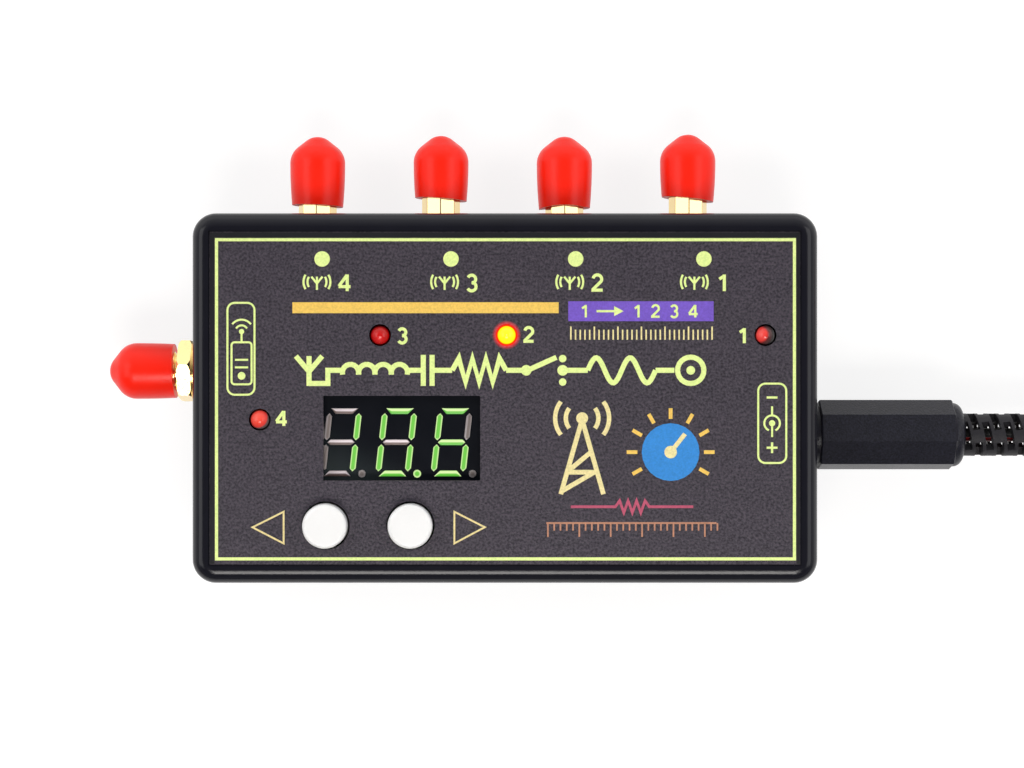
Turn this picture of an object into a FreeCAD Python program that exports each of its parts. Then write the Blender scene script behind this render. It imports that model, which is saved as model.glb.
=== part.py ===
import FreeCAD, Part
import math
import os

# Coaxial antenna switch: one radio jack is switched to one of four antenna jacks by relays on a
# circuit board, in a two-shell moulded box with a three-digit display, four lamps and two buttons.
#
# Millimetres. The origin is the middle of the case's underside, +X runs to the right along the
# face, +Y towards the antenna jacks, and +Z out of the face.
# Everything that goes through a side wall is modelled along +Y from the wall's outer face, on its
# own axis, and is then turned about Z and moved to its wall.

# Case: two shells that meet at the connectors' axis
case_length = 100.0
case_width = 59.2
case_height = 25.0
case_corner_radius = 3.8
case_wall = 2.2
seam_height = 12.5
lid_plate_thickness = 2.5
lid_edge_radius = 2.2
base_floor_thickness = 2.2
base_edge_radius = 1.0
lip_thickness = 0.9
lip_height = 1.4
lip_clearance = 0.1

# Face label, in a recess of the lid
label_margin_x = 2.8
label_margin_y = 2.95
label_recess_depth = 0.5
label_thickness = 0.25
label_edge_gap = 0.15

# Case screws, driven from the underside into posts of the lid
screw_inset = 5.8
lid_post_radius = 3.0
base_boss_radius = 3.8
post_gap = 0.1
case_screw_length = 16.0
case_screw_radius = 1.25
case_screw_head_radius = 2.5
case_screw_head_height = 2.0
case_screw_sink = 2.6
screw_drive_radius = 1.1
screw_drive_width = 0.45
screw_drive_depth = 0.9
screw_head_chamfer = 0.6
screw_point_chamfer = 0.5
screw_play = 0.35
thread_seat = 0.02
pilot_spare_depth = 1.0

# Circuit board, on standoffs of the base
board_thickness = 1.6
board_drop = 0.5  # from the connectors' axis down to the board's top
board_edge_gap = 1.2
board_post_gap = 0.5
standoff_radius = 2.7
standoff_inset_x = 9.0
standoff_inset_y = 12.6
board_screw_radius = 0.95
board_screw_length = 6.0
board_screw_head_radius = 2.1
board_screw_head_height = 1.5

# Coaxial jacks: the antennas' in a row through the back wall, the radio's through the left wall
jack_thread_radius = 3.175
jack_neck_sides = 8
jack_neck_drop = 0.025  # how far the neck's corners stay below the thread's crests
jack_flange_side = 6.35
jack_flange_thickness = 1.7
jack_flange_gap = 0.2
jack_leg_side = 1.0
jack_leg_length = 4.0
jack_tip_chamfer = 0.4
jack_mouth_radius = 2.35
jack_mouth_depth = 1.9
insulator_radius = 2.05
contact_radius = 0.635
contact_socket_radius = 0.47
contact_socket_depth = 3.0
contact_setback = 1.3
contact_tail_radius = 0.45
contact_tail_length = 3.0
plated_fit = 0.02
wall_hole_clearance = 0.2
antenna_count = 4
antenna_1_from_right = 19.92
antenna_4_from_left = 19.12
antenna_reach = 9.4
antenna_neck_reach = 3.6
radio_from_middle = 4.4
radio_thread_show = 0.8  # between the nut and the mouth of the dust cap
nut_across_flats = 9.2
nut_thickness = 2.2
nut_chamfer = 0.41
nut_turn = 11.0
washer_radius = 4.8
washer_thickness = 1.3
washer_bore_clearance = 0.1

# Dust caps: soft bullet-shaped caps pushed over the jacks' threads
cap_grip_clearance = 0.05
cap_shoulder_round = 3.4
cap_nose_round = 3.0
cap_cone_slope = 38.4
cap_crown = 3.0
cap_bore_round = 1.6
# length, gap between the jack's tip and the cap's crown, slant of the mouth in degrees, how far
# the mouth is hollowed, radius at the mouth and at the shoulder: antenna caps 1 to 4, then the
# radio jack's
cap_sizes = (
    (10.7, 1.33, -6.0, 0.0, 4.25, 4.56),
    (12.0, 0.99, 3.6, 0.5, 4.2, 4.56),
    (10.5, 1.12, -4.2, 0.0, 4.25, 4.52),
    (11.4, 0.95, -2.4, 0.0, 4.2, 4.52),
    (10.77, 0.87, 2.0, 0.0, 4.45, 4.6),
)

# Display, lamps and buttons, which stand on the board and look through the face. Places on the
# face are measured to the middle of each piece from the case's edges, and the window's also from
# the buttons' row.
window_length = 25.0
window_width = 13.5
window_from_left = 33.57
window_from_buttons = 13.92
display_length = 26.3
display_width = 15.2
display_height = 7.2
display_face_gap = 0.1
display_shift_x = -0.52  # the display's middle, from the window's
display_shift_y = -0.72
digit_count = 3
digit_pitch = 8.87
digit_shift_x = -0.48  # the digits' middle, from the display's
digit_half_width = 2.35
digit_half_height = 4.99
digit_slant = 6.45
segment_width = 0.95
segment_bevel = 0.84
segment_end_gap = 0.16
segment_rib_gap = 0.65
segment_thickness = 0.5
segment_recess = 0.1
point_radius = 0.63
point_shift_x = 3.35  # a digit's point, from the digit's middle
point_shift_y = -5.04
lit_segments = ("bc", "abcdef.", "acdefg")
pin_count = 6
pin_pitch = 2.54
pin_side = 0.5
pin_row_spacing = 10.16
strip_width = 2.54
strip_hole_side = 0.66
strip_floor = 0.4

lamp_radius = 1.5
lamp_flange_radius = 1.9
lamp_flange_height = 1.0
lamp_height = 5.3
lamp_rise = 0.8  # the dome's top above the case's face
lamp_hole_clearance = 0.25
lamp_lead_side = 0.5
lamp_lead_spacing = 2.54
lamp_1_from_right = 8.5
lamp_2_from_left = 50.27
lamp_3_from_left = 30.1
lamp_4_from_left = 10.95
lamp_row_from_back = 19.55
lamp_4_from_back = 33.03

switch_side = 6.0
switch_body_height = 3.2
switch_cover_thickness = 0.3
switch_cavity_radius = 2.5
switch_floor = 1.2
plunger_radius = 1.75
plunger_fit = 0.08
plunger_collar_radius = 2.25
plunger_collar_height = 0.6
plunger_collar_play = 0.1
plunger_nub_radius = 0.6
plunger_nub_height = 0.25
dome_radius = 2.2
dome_gap = 0.2
dome_thickness = 0.1
button_radius = 3.55
button_rise = 2.4  # the cap's top above the case's face
button_height = 7.0
button_top_wall = 2.4
button_edge_radius = 0.6
button_clearance = 0.3
button_grip = 0.02
left_button_from_left = 21.42
right_button_from_left = 34.95
button_row_from_front = 9.3

# Parts soldered on the board, placed from the case's right and front edges to their middles
relay_length = 10.0
relay_width = 6.5
relay_height = 5.2
relay_jack_gap = 0.6
relay_lead_count = 4
relay_lead_pitch = 2.2
controller_side = 7.0
controller_height = 1.1
controller_lead_count = 8
controller_lead_pitch = 0.8
controller_from_right = 42.0
controller_from_front = 30.6
driver_length = 11.5
driver_width = 7.5
driver_height = 2.4
driver_lead_count = 9
driver_lead_pitch = 1.27
driver_from_right = 29.0
driver_from_front = 29.0
lead_thickness = 0.2
lead_share = 0.5  # a lead's width as a share of its pitch
lead_root = 0.2
lead_knee = 0.4
lead_reach = 1.2
chip_edge_chamfer = 0.3
regulator_length = 6.5
regulator_width = 5.4
regulator_height = 2.3
regulator_tab_length = 5.2
regulator_tab_reach = 1.2
regulator_tab_thickness = 0.5
regulator_lead_width = 0.8
regulator_lead_spacing = 4.6
regulator_from_right = 21.5
regulator_from_front = 17.6
can_radius = 3.15
can_height = 7.7
can_base_side = 6.6
can_base_height = 1.2
can_groove_height = 2.2
can_groove_depth = 0.25
can_edge_chamfer = 0.4
cans_from_right = 30.5
cans_from_front = (17.6, 9.1)
crystal_length = 11.0
crystal_width = 4.6
crystal_height = 3.1
crystal_foot_thickness = 0.4
crystal_foot_step = 0.3
crystal_edge_chamfer = 0.4
crystal_from_right = 42.0
crystal_from_front = 20.1
chip_part_length = 2.0
chip_part_width = 1.25
chip_part_height = 0.7
chip_part_pitch = 3.2
# rows of chip parts: how far the first one is from the right and the front, and how many a row has
chip_part_rows = ((46.0, 14.1), (46.0, 10.1), (54.5, 32.4), (26.0, 8.6))
chip_part_row_counts = (4, 4, 3, 3)

# Inlet for the barrel plug, in a notch of the board
inlet_from_front = 23.5
inlet_width = 9.0
inlet_height = 11.0
inlet_length = 11.9
inlet_wall_gap = 0.1
inlet_rear_wall = 2.2
inlet_bore_clearance = 0.3
inlet_collar_radius = 3.9
inlet_collar_clearance = 0.2
inlet_collar_recess = 0.4
inlet_pin_radius = 1.0
inlet_pin_round = 0.6
inlet_pin_recess = 2.1
inlet_tab_length = 3.0
inlet_tab_width = 1.6
inlet_tab_thickness = 0.4
inlet_ear_width = 1.4
inlet_ear_length = 6.0
inlet_ear_thickness = 1.5
inlet_board_gap = 0.3
spring_width = 2.4
spring_thickness = 0.25
spring_sleeve_gap = 0.12
spring_side_gap = 0.3
spring_drop = 1.0  # from the socket's wall down to the strip's straight part
spring_tail_length = 1.5
spring_crest_depth = 4.2
spring_tip_dip = 0.4
spring_well_top = 1.8  # from the inlet's axis down to the well's ceiling

# Barrel plug on the lead
plug_sleeve_radius = 2.75
plug_sleeve_wall = 0.3
plug_sleeve_chamfer = 0.15
plug_sleeve_depth = 9.2
plug_wall_gap = 1.5
plug_flange_radius = 3.8
plug_flange_thickness = 0.8
plug_contact_radius = 1.23
plug_pin_clearance = 0.05
plug_shoulder_setback = 0.2
plug_contact_tail = 4.0
plug_cover_length = 23.6
plug_cover_sides = 8
plug_cover_flats = 10.75
plug_cover_turn = -13.0
plug_cover_bevel = 0.2
plug_cover_dome_radius = 5.25
plug_cover_dome_length = 1.6
plug_cover_dome_round = 1.5
plug_cover_bore_radius = 4.0
plug_cover_end_wall = 1.5
plug_cover_play = 0.05
plug_lug_width = 3.0
plug_lug_thickness = 0.4

# Slotted strain relief behind the plug: rings of windows, every other ring turned half a window
relief_radius = 3.5
relief_bore_radius = 2.1
relief_length = 14.5
relief_neck_radius = 2.9
relief_collar_thickness = 1.0
relief_first_ring = 0.35
relief_ring_pitch = 1.745
relief_ring_count = 8
relief_window_count = 3
relief_window_angle = 84.0
relief_window_width = 1.2
relief_ring_tilt = 10.5
relief_turn = 80.5
relief_end_round = 0.8

# Lead: a twin lead, kept here as a round tube of the same width, with its unused length in a coil
lead_radius = 1.5
lead_coil_from_wall = 107.0
lead_coil_turn_radius = 18.2
lead_coil_column_count = 3
lead_coil_pitch = 3.1
lead_coil_height = 6.4
lead_stub_length = 12.0
lead_end_length = 10.0
lead_end_thickness = 1.5
lead_end_sink = 0.2
lead_tip_radius = 0.4
lead_tip_length = 6.0
lead_core_spacing = 1.5
# The route's points between the plug and the coil's stub, chosen along its fall to the floor: how
# far out of the wall, how far aside of the inlet's axis, and the share of the fall that is left
lead_route = (
    (43.6, 0.0, 1.0),
    (63.8, -0.7, 0.49),
    (82.2, 0.0, 0.0),
)
arc_share = 0.45

# How far a cutter runs past what it cuts, and how far pieces that are fused run into each other
overcut = 1.0
overlap = 0.1

# Sizes and places that follow from the ones above
V = FreeCAD.Vector
ORIGIN = V(0, 0, 0)
X_AXIS = V(1, 0, 0)
Y_AXIS = V(0, 1, 0)
Z_AXIS = V(0, 0, 1)

axis_height = seam_height
half_length = case_length / 2
half_width = case_width / 2
cavity_length = case_length - 2 * case_wall
cavity_width = case_width - 2 * case_wall
cavity_corner_radius = case_corner_radius - case_wall
cavity_top = case_height - lid_plate_thickness
recess_length = case_length - 2 * label_margin_x
recess_width = case_width - 2 * label_margin_y
recess_floor = case_height - label_recess_depth
screw_x = half_length - screw_inset
screw_y = half_width - screw_inset
board_top = axis_height - board_drop
board_bottom = board_top - board_thickness
jack_flange_back = case_wall + jack_flange_gap + jack_flange_thickness
display_top = cavity_top - display_face_gap
display_bottom = display_top - display_height
switch_top = switch_body_height + switch_cover_thickness

window_x = window_from_left - half_length
button_row_y = button_row_from_front - half_width
window_y = button_row_y + window_from_buttons
display_x = window_x + display_shift_x
display_y = window_y + display_shift_y
lamp_row_y = half_width - lamp_row_from_back
lamp_places = (
    (half_length - lamp_1_from_right, lamp_row_y),
    (lamp_2_from_left - half_length, lamp_row_y),
    (lamp_3_from_left - half_length, lamp_row_y),
    (lamp_4_from_left - half_length, half_width - lamp_4_from_back),
)
button_places = {
    "left": (left_button_from_left - half_length, button_row_y),
    "right": (right_button_from_left - half_length, button_row_y),
}
standoff_x = half_length - standoff_inset_x
standoff_y = half_width - standoff_inset_y

inlet_front = -case_wall - inlet_wall_gap
inlet_back = inlet_front - inlet_length
plug_cover_rear = plug_wall_gap + plug_cover_length
lead_start = plug_cover_rear - plug_cover_end_wall - relief_collar_thickness - plug_flange_thickness

antenna_row_length = case_length - antenna_1_from_right - antenna_4_from_left
antenna_pitch = antenna_row_length / (antenna_count - 1)
antenna_ports = [
    (V(half_length - antenna_1_from_right - i * antenna_pitch, half_width, axis_height), 0)
    for i in range(antenna_count)
]
radio_cap_length, radio_cap_gap = cap_sizes[-1][:2]
radio_cap_cover = radio_cap_length - cap_crown - radio_cap_gap
radio_reach = washer_thickness + nut_thickness + radio_thread_show + radio_cap_cover
radio_port = (V(-half_length, radio_from_middle, axis_height), 90)
inlet_port = (V(half_length, inlet_from_front - half_width, axis_height), -90)
inlet_bore_radius = plug_sleeve_radius + inlet_bore_clearance
lead_coil_x = half_length + lead_coil_from_wall
lead_coil_y = inlet_port[0].y + lead_coil_turn_radius


def at_wall(shape, port):
    """The shape, modelled along +Y from a wall's outer face, turned about Z and moved to its port."""
    place, turn = port
    placed = shape.copy()
    placed.rotate(ORIGIN, Z_AXIS, turn)
    placed.translate(place)
    return placed


def block(x_span, y_span, z_span):
    """A box between the low and the high value given along each axis."""
    spans = (x_span, y_span, z_span)
    sizes = [high - low for low, high in spans]
    return Part.makeBox(*sizes, V(*[low for low, high in spans]))


def slab(length, width, z_low, z_high, x=0.0, y=0.0):
    """A box of the given length and width centred on x, y, between two heights."""
    return block(
        (x - length / 2, x + length / 2), (y - width / 2, y + width / 2), (z_low, z_high)
    )


def post(radius, z_low, z_high, x=0.0, y=0.0):
    """An upright cylinder between two heights."""
    return Part.makeCylinder(radius, z_high - z_low, V(x, y, z_low), Z_AXIS)


def rod(radius, y_low, y_high, x=0.0, z=0.0):
    """A cylinder along Y between two places."""
    return Part.makeCylinder(radius, y_high - y_low, V(x, y_low, z), Y_AXIS)


def rounded_slab(length, width, radius, z_low, z_high):
    """A slab whose four upright edges are rounded."""
    plain = slab(length, width, z_low, z_high)
    upright = [edge for edge in plain.Edges if abs(edge.tangentAt(edge.FirstParameter).z) > 0.9]
    return plain.makeFillet(radius, upright)


def edges_at_height(shape, height):
    """The edges that lie wholly at one height."""
    return [edge for edge in shape.Edges if all(abs(p.Z - height) < 1e-6 for p in edge.Vertexes)]


def edges_at_y(shape, y):
    """The edges that lie wholly at one Y."""
    return [edge for edge in shape.Edges if all(abs(p.Y - y) < 1e-6 for p in edge.Vertexes)]


def upright_prism(points, z_low, z_high):
    """A prism over a closed outline of x, y points."""
    corners = [V(x, y, z_low) for x, y in points]
    outline = Part.makePolygon(corners + corners[:1])
    return Part.Face(outline).extrude(V(0, 0, z_high - z_low))


def polygon_rod(corner_radius, sides, turn, y_low, y_high):
    """A prism along Y with a regular cross-section, its first corner turned from +Z towards +X."""
    angles = [math.radians(turn + 360.0 * i / sides) for i in range(sides)]
    corners = [V(corner_radius * math.sin(a), y_low, corner_radius * math.cos(a)) for a in angles]
    outline = Part.makePolygon(corners + corners[:1])
    return Part.Face(outline).extrude(V(0, y_high - y_low, 0))


def turned_about_y(edges):
    """The solid that a closed profile in the XY plane sweeps about the Y axis."""
    return Part.Face(Part.Wire(edges)).revolve(ORIGIN, Y_AXIS, 360)


def turned_about_z(edges):
    """The solid that a closed profile in the XZ plane sweeps about the Z axis."""
    return Part.Face(Part.Wire(edges)).revolve(ORIGIN, Z_AXIS, 360)


def fused(shapes):
    """One solid from shapes that overlap or meet."""
    first, *others = shapes
    return first.fuse(others).removeSplitter() if others else first


def group(shapes):
    """Separate solids kept together in one node."""
    return Part.makeCompound([solid for shape in shapes for solid in shape.Solids])


# Case


def wall_openings():
    """What the connectors take out of the side walls: a round hole for each, halved by the seam."""
    span = (-case_wall - overcut, overcut)
    jack_hole = rod(jack_thread_radius + wall_hole_clearance, *span)
    inlet_hole = rod(inlet_collar_radius + inlet_collar_clearance, *span)
    holes = [at_wall(jack_hole, port) for port in antenna_ports + [radio_port]]
    return holes + [at_wall(inlet_hole, inlet_port)]


def face_openings():
    """The window, lamp holes and button holes of the face, through the lid and the label."""
    span = (cavity_top - overcut, case_height + overcut)
    lamp_hole = lamp_radius + lamp_hole_clearance
    button_hole = button_radius + button_clearance
    cuts = [slab(window_length, window_width, *span, window_x, window_y)]
    cuts += [post(lamp_hole, *span, x, y) for x, y in lamp_places]
    cuts += [post(button_hole, *span, x, y) for x, y in button_places.values()]
    return cuts


def corner_places(x, y):
    """The four places at plus and minus x and y."""
    return [(sx * x, sy * y) for sx in (1, -1) for sy in (1, -1)]


def case_screw_tip():
    """How high the case screws reach."""
    return case_screw_sink + case_screw_length


def make_lid():
    """Upper shell: filleted top, label recess, window and holes, screw posts, rebate at the seam."""
    shell = rounded_slab(case_length, case_width, case_corner_radius, seam_height, case_height)
    shell = shell.makeFillet(lid_edge_radius, edges_at_height(shell, case_height))
    cavity = rounded_slab(
        cavity_length, cavity_width, cavity_corner_radius, seam_height - overcut, cavity_top
    )
    rebate = rounded_slab(
        cavity_length + 2 * (lip_thickness + lip_clearance),
        cavity_width + 2 * (lip_thickness + lip_clearance),
        cavity_corner_radius + lip_thickness + lip_clearance,
        seam_height - overcut,
        seam_height + lip_height + lip_clearance,
    )
    recess = slab(recess_length, recess_width, recess_floor, case_height + overcut)
    shell = shell.cut([cavity, rebate, recess])
    places = corner_places(screw_x, screw_y)
    posts = [post(lid_post_radius, seam_height, cavity_top, x, y) for x, y in places]
    pilot_top = case_screw_tip() + pilot_spare_depth
    pilots = [
        post(case_screw_radius + thread_seat, seam_height - overcut, pilot_top, x, y)
        for x, y in places
    ]
    return fused([shell] + posts).cut(pilots + face_openings() + wall_openings())


def make_base():
    """Lower shell: floor, screw bosses, board standoffs and the lip that enters the lid."""
    shell = rounded_slab(case_length, case_width, case_corner_radius, 0.0, seam_height)
    shell = shell.makeFillet(base_edge_radius, edges_at_height(shell, 0.0))
    lip = rounded_slab(
        cavity_length + 2 * lip_thickness,
        cavity_width + 2 * lip_thickness,
        cavity_corner_radius + lip_thickness,
        seam_height - overlap,
        seam_height + lip_height,
    )
    cavity = rounded_slab(
        cavity_length,
        cavity_width,
        cavity_corner_radius,
        base_floor_thickness,
        seam_height + lip_height + overcut,
    )
    shell = shell.fuse(lip).cut(cavity)
    screw_places = corner_places(screw_x, screw_y)
    standoff_places = corner_places(standoff_x, standoff_y)
    root = base_floor_thickness - overlap
    boss_top = seam_height - post_gap
    bosses = [post(base_boss_radius, root, boss_top, x, y) for x, y in screw_places]
    standoffs = [post(standoff_radius, root, board_bottom, x, y) for x, y in standoff_places]
    sinks = [
        post(case_screw_head_radius + screw_play, -overcut, case_screw_sink, x, y)
        for x, y in screw_places
    ]
    shafts = [
        post(case_screw_radius + screw_play, 0.0, seam_height, x, y) for x, y in screw_places
    ]
    pilot_floor = board_top - board_screw_length - pilot_spare_depth
    pilots = [
        post(board_screw_radius + thread_seat, pilot_floor, board_top, x, y)
        for x, y in standoff_places
    ]
    shell = fused([shell] + bosses + standoffs)
    return shell.cut(sinks + shafts + pilots + wall_openings())


def make_face_label():
    """Printed plastic label that lies in the lid's recess."""
    sheet = slab(
        recess_length - 2 * label_edge_gap,
        recess_width - 2 * label_edge_gap,
        recess_floor,
        recess_floor + label_thickness,
    )
    return sheet.cut(face_openings())


def screw(shank_radius, shank_length, head_radius, head_height):
    """Screw that points up from its head's bearing face, with a cross-shaped drive in the head."""
    head = post(head_radius, -head_height, 0.0)
    head = head.makeChamfer(screw_head_chamfer, edges_at_height(head, -head_height))
    shank = post(shank_radius, -overlap, shank_length)
    shank = shank.makeChamfer(screw_point_chamfer, edges_at_height(shank, shank_length))
    drive_span = (-head_height - overcut, screw_drive_depth - head_height)
    bars = [
        slab(2 * screw_drive_radius, screw_drive_width, *drive_span),
        slab(screw_drive_width, 2 * screw_drive_radius, *drive_span),
    ]
    return fused([head, shank]).cut(bars)


def make_case_screws():
    """Four self-tapping screws, sunk in the base and driven up into the lid's posts."""
    one = screw(
        case_screw_radius, case_screw_length, case_screw_head_radius, case_screw_head_height
    )
    return group(
        [one.translated(V(x, y, case_screw_sink)) for x, y in corner_places(screw_x, screw_y)]
    )


# Board and what is soldered on it


def inlet_notch():
    """The part of the board that makes way for the inlet."""
    depth = inlet_back - inlet_board_gap
    width = inlet_width / 2 + inlet_board_gap
    low = -board_drop - board_thickness - overcut
    notch = block((-width, width), (depth, 0.0), (low, overcut))
    return at_wall(notch, inlet_port)


def make_board():
    """Fibreglass board, cut back for the case's corner posts and for the inlet."""
    left = -half_length + jack_flange_back
    right = half_length - case_wall - board_edge_gap
    back = half_width - jack_flange_back
    front = -half_width + case_wall + board_edge_gap
    board = block((left, right), (front, back), (board_bottom, board_top))
    hole_radius = board_screw_radius + screw_play
    reach = base_boss_radius + board_post_gap
    corners = [
        slab(2 * reach, 2 * reach, board_bottom - overcut, board_top + overcut, x, y)
        for x, y in corner_places(screw_x, screw_y)
    ]
    holes = [
        post(hole_radius, board_bottom - overcut, board_top + overcut, x, y)
        for x, y in corner_places(standoff_x, standoff_y)
    ]
    return board.cut(corners + holes + [inlet_notch()])


def make_board_screws():
    """Four small screws that hold the board on its standoffs, heads up."""
    one = screw(
        board_screw_radius, board_screw_length, board_screw_head_radius, board_screw_head_height
    )
    one.rotate(ORIGIN, X_AXIS, 180)
    return group(
        [one.translated(V(x, y, board_top)) for x, y in corner_places(standoff_x, standoff_y)]
    )


def gull_lead(edge, shoulder, width):
    """One chip lead as a bent strip: out of the body at y = edge, down, and flat along the board."""
    knee = edge + lead_knee
    toe = edge + lead_reach
    thick = lead_thickness
    bend = [
        (edge - lead_root, shoulder - thick),
        (edge - lead_root, shoulder),
        (knee + thick, shoulder),
        (knee + thick, thick),
        (toe, thick),
        (toe, 0.0),
        (knee, 0.0),
        (knee, shoulder - thick),
    ]
    corners = [V(-width / 2, y, z) for y, z in bend]
    return Part.Face(Part.makePolygon(corners + corners[:1])).extrude(V(width, 0, 0))


def leaded_chip(length, width, height, leads, pitch, sides=2):
    """Moulded chip on z = 0: a chamfered block with bent leads along two or all four sides."""
    body = slab(length, width, lead_thickness, height)
    body = body.makeChamfer(chip_edge_chamfer, edges_at_height(body, height))
    shoulder = lead_thickness + (height - chip_edge_chamfer) / 2
    solids = [body]
    for side in range(sides):
        turn = side * 360 / sides
        edge = (length if turn % 180 else width) / 2
        for i in range(leads):
            lead = gull_lead(edge, shoulder, pitch * lead_share)
            lead.translate(V((i - (leads - 1) / 2) * pitch, 0, 0))
            lead.rotate(ORIGIN, Z_AXIS, turn)
            solids.append(lead)
    return fused(solids)


def on_board(shape, place):
    """The shape, modelled on z = 0, set down on the board at x, y."""
    return shape.translated(V(place[0], place[1], board_top))


def board_place(from_right, from_front):
    """The x, y of a part that is placed from the case's right and front edges."""
    return (half_length - from_right, from_front - half_width)


def make_rf_relays():
    """One relay behind each antenna jack."""
    one = leaded_chip(relay_length, relay_width, relay_height, relay_lead_count, relay_lead_pitch)
    legs_end = half_width - jack_flange_back - jack_leg_length
    row_y = legs_end - relay_jack_gap - lead_reach - relay_width / 2
    return group([on_board(one, (place.x, row_y)) for place, _ in antenna_ports])


def make_microcontroller():
    """Flat controller chip with leads on its four sides."""
    side = controller_side
    chip = leaded_chip(
        side, side, controller_height, controller_lead_count, controller_lead_pitch, sides=4
    )
    return on_board(chip, board_place(controller_from_right, controller_from_front))


def make_relay_driver():
    """Chip that switches the relays' coils."""
    chip = leaded_chip(
        driver_length, driver_width, driver_height, driver_lead_count, driver_lead_pitch
    )
    return on_board(chip, board_place(driver_from_right, driver_from_front))


def make_voltage_regulator():
    """Power package with a soldered tab on one side and two leads on the other."""
    body = slab(regulator_length, regulator_width, 0.0, regulator_height)
    body = body.makeChamfer(chip_edge_chamfer, edges_at_height(body, regulator_height))
    half = regulator_width / 2
    tab = block(
        (-regulator_tab_length / 2, regulator_tab_length / 2),
        (half - overlap, half + regulator_tab_reach),
        (0.0, regulator_tab_thickness),
    )
    leads = [
        slab(
            regulator_lead_width,
            2 * regulator_tab_reach,
            0.0,
            regulator_tab_thickness,
            side * regulator_lead_spacing / 2,
            -half,
        )
        for side in (1, -1)
    ]
    place = board_place(regulator_from_right, regulator_from_front)
    return on_board(fused([body, tab] + leads), place)


def make_electrolytic_capacitors():
    """Two aluminium cans, each with a rolled groove, on square plastic bases."""
    base = slab(can_base_side, can_base_side, 0.0, can_base_height)
    low = can_base_height - overlap
    outline = [
        (0.0, low),
        (can_radius, low),
        (can_radius, can_groove_height - can_groove_depth),
        (can_radius - can_groove_depth, can_groove_height),
        (can_radius, can_groove_height + can_groove_depth),
        (can_radius, can_height - can_edge_chamfer),
        (can_radius - can_edge_chamfer, can_height),
        (0.0, can_height),
    ]
    corners = [V(x, 0, z) for x, z in outline]
    can = turned_about_z([Part.makePolygon(corners + corners[:1])])
    one = fused([base, can])
    return group([on_board(one, board_place(cans_from_right, front)) for front in cans_from_front])


def capsule(length, width, z_low, z_high):
    """An upright slab with half-round ends."""
    straight = length - width
    ends = [post(width / 2, z_low, z_high, side * straight / 2) for side in (1, -1)]
    return fused([slab(straight, width, z_low, z_high)] + ends)


def make_crystal():
    """Low metal can with round ends on a slightly wider foot."""
    foot = capsule(crystal_length, crystal_width, 0.0, crystal_foot_thickness)
    step = 2 * crystal_foot_step
    can = capsule(
        crystal_length - step,
        crystal_width - step,
        crystal_foot_thickness - overlap,
        crystal_height,
    )
    can = can.makeChamfer(crystal_edge_chamfer, edges_at_height(can, crystal_height))
    return on_board(fused([foot, can]), board_place(crystal_from_right, crystal_from_front))


def make_chip_parts():
    """Small chip resistors and capacitors in rows."""
    one = slab(chip_part_width, chip_part_length, 0.0, chip_part_height)
    places = [
        board_place(from_right - i * chip_part_pitch, from_front)
        for (from_right, from_front), count in zip(chip_part_rows, chip_part_row_counts)
        for i in range(count)
    ]
    return group([on_board(one, place) for place in places])


# Display


def slanted(points, x, y):
    """Outline points about a digit's middle, leaning with its slant and moved to x, y."""
    lean = math.tan(math.radians(digit_slant))
    return [(x + px + py * lean, y + py) for px, py in points]


def bar_outline(segment):
    """The outline of one of a digit's seven bars, about the digit's middle and upright."""
    half = segment_width / 2
    reach = digit_half_width - segment_end_gap
    rise = (digit_half_height - segment_rib_gap) / 2
    middle = digit_half_height / 2
    if segment in "ad":
        side = 1 if segment == "a" else -1
        outer = side * (digit_half_height + half)
        inner = side * (digit_half_height - half)
        short = reach - segment_bevel
        return [(-reach, outer), (reach, outer), (short, inner), (-short, inner)]
    if segment == "g":
        short = reach - half
        return [(-reach, 0), (-short, half), (short, half), (reach, 0), (short, -half), (-short, -half)]
    x = digit_half_width if segment in "bc" else -digit_half_width
    y = middle if segment in "bf" else -middle
    short = rise - half
    return [
        (x, y + rise),
        (x + half, y + short),
        (x + half, y - short),
        (x, y - rise),
        (x - half, y - short),
        (x - half, y + short),
    ]


def display_marks(z_low, z_high):
    """Every bar and point of the display as (digit, name, prism) between two heights."""
    marks = []
    for digit in range(digit_count):
        x = display_x + digit_shift_x + (digit - (digit_count - 1) / 2) * digit_pitch
        for name in "abcdefg":
            outline = slanted(bar_outline(name), x, display_y)
            marks.append((digit, name, upright_prism(outline, z_low, z_high)))
        point = post(point_radius, z_low, z_high, x + point_shift_x, display_y + point_shift_y)
        marks.append((digit, ".", point))
    return marks


def make_display_housing():
    """Moulded block with a pocket for each bar and point."""
    body = slab(display_length, display_width, display_bottom, display_top, display_x, display_y)
    pocket_floor = display_top - segment_recess - segment_thickness
    pockets = [prism for _, _, prism in display_marks(pocket_floor, display_top + overcut)]
    return body.cut(pockets)


def display_segments(lit):
    """The diffusers that shine, or the ones that stay dark."""
    high = display_top - segment_recess
    marks = display_marks(high - segment_thickness, high)
    return group([prism for digit, name, prism in marks if (name in lit_segments[digit]) == lit])


def pin_places():
    """Where the display's pins stand, in two rows."""
    rows = [display_y + side * pin_row_spacing / 2 for side in (1, -1)]
    return [
        (display_x + (i - (pin_count - 1) / 2) * pin_pitch, y) for y in rows for i in range(pin_count)
    ]


def make_display_pins():
    """The display's pins, which stand in the socket strips."""
    return group(
        [
            slab(pin_side, pin_side, board_top + strip_floor, display_bottom, x, y)
            for x, y in pin_places()
        ]
    )


def make_display_sockets():
    """Two socket strips that hold the display off the board."""
    holes = [
        slab(
            strip_hole_side, strip_hole_side, board_top + strip_floor, display_bottom + overcut, x, y
        )
        for x, y in pin_places()
    ]
    strips = [
        slab(
            pin_count * pin_pitch,
            strip_width,
            board_top,
            display_bottom,
            display_x,
            display_y + side * pin_row_spacing / 2,
        ).cut(holes)
        for side in (1, -1)
    ]
    return group(strips)


# Lamps


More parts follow.
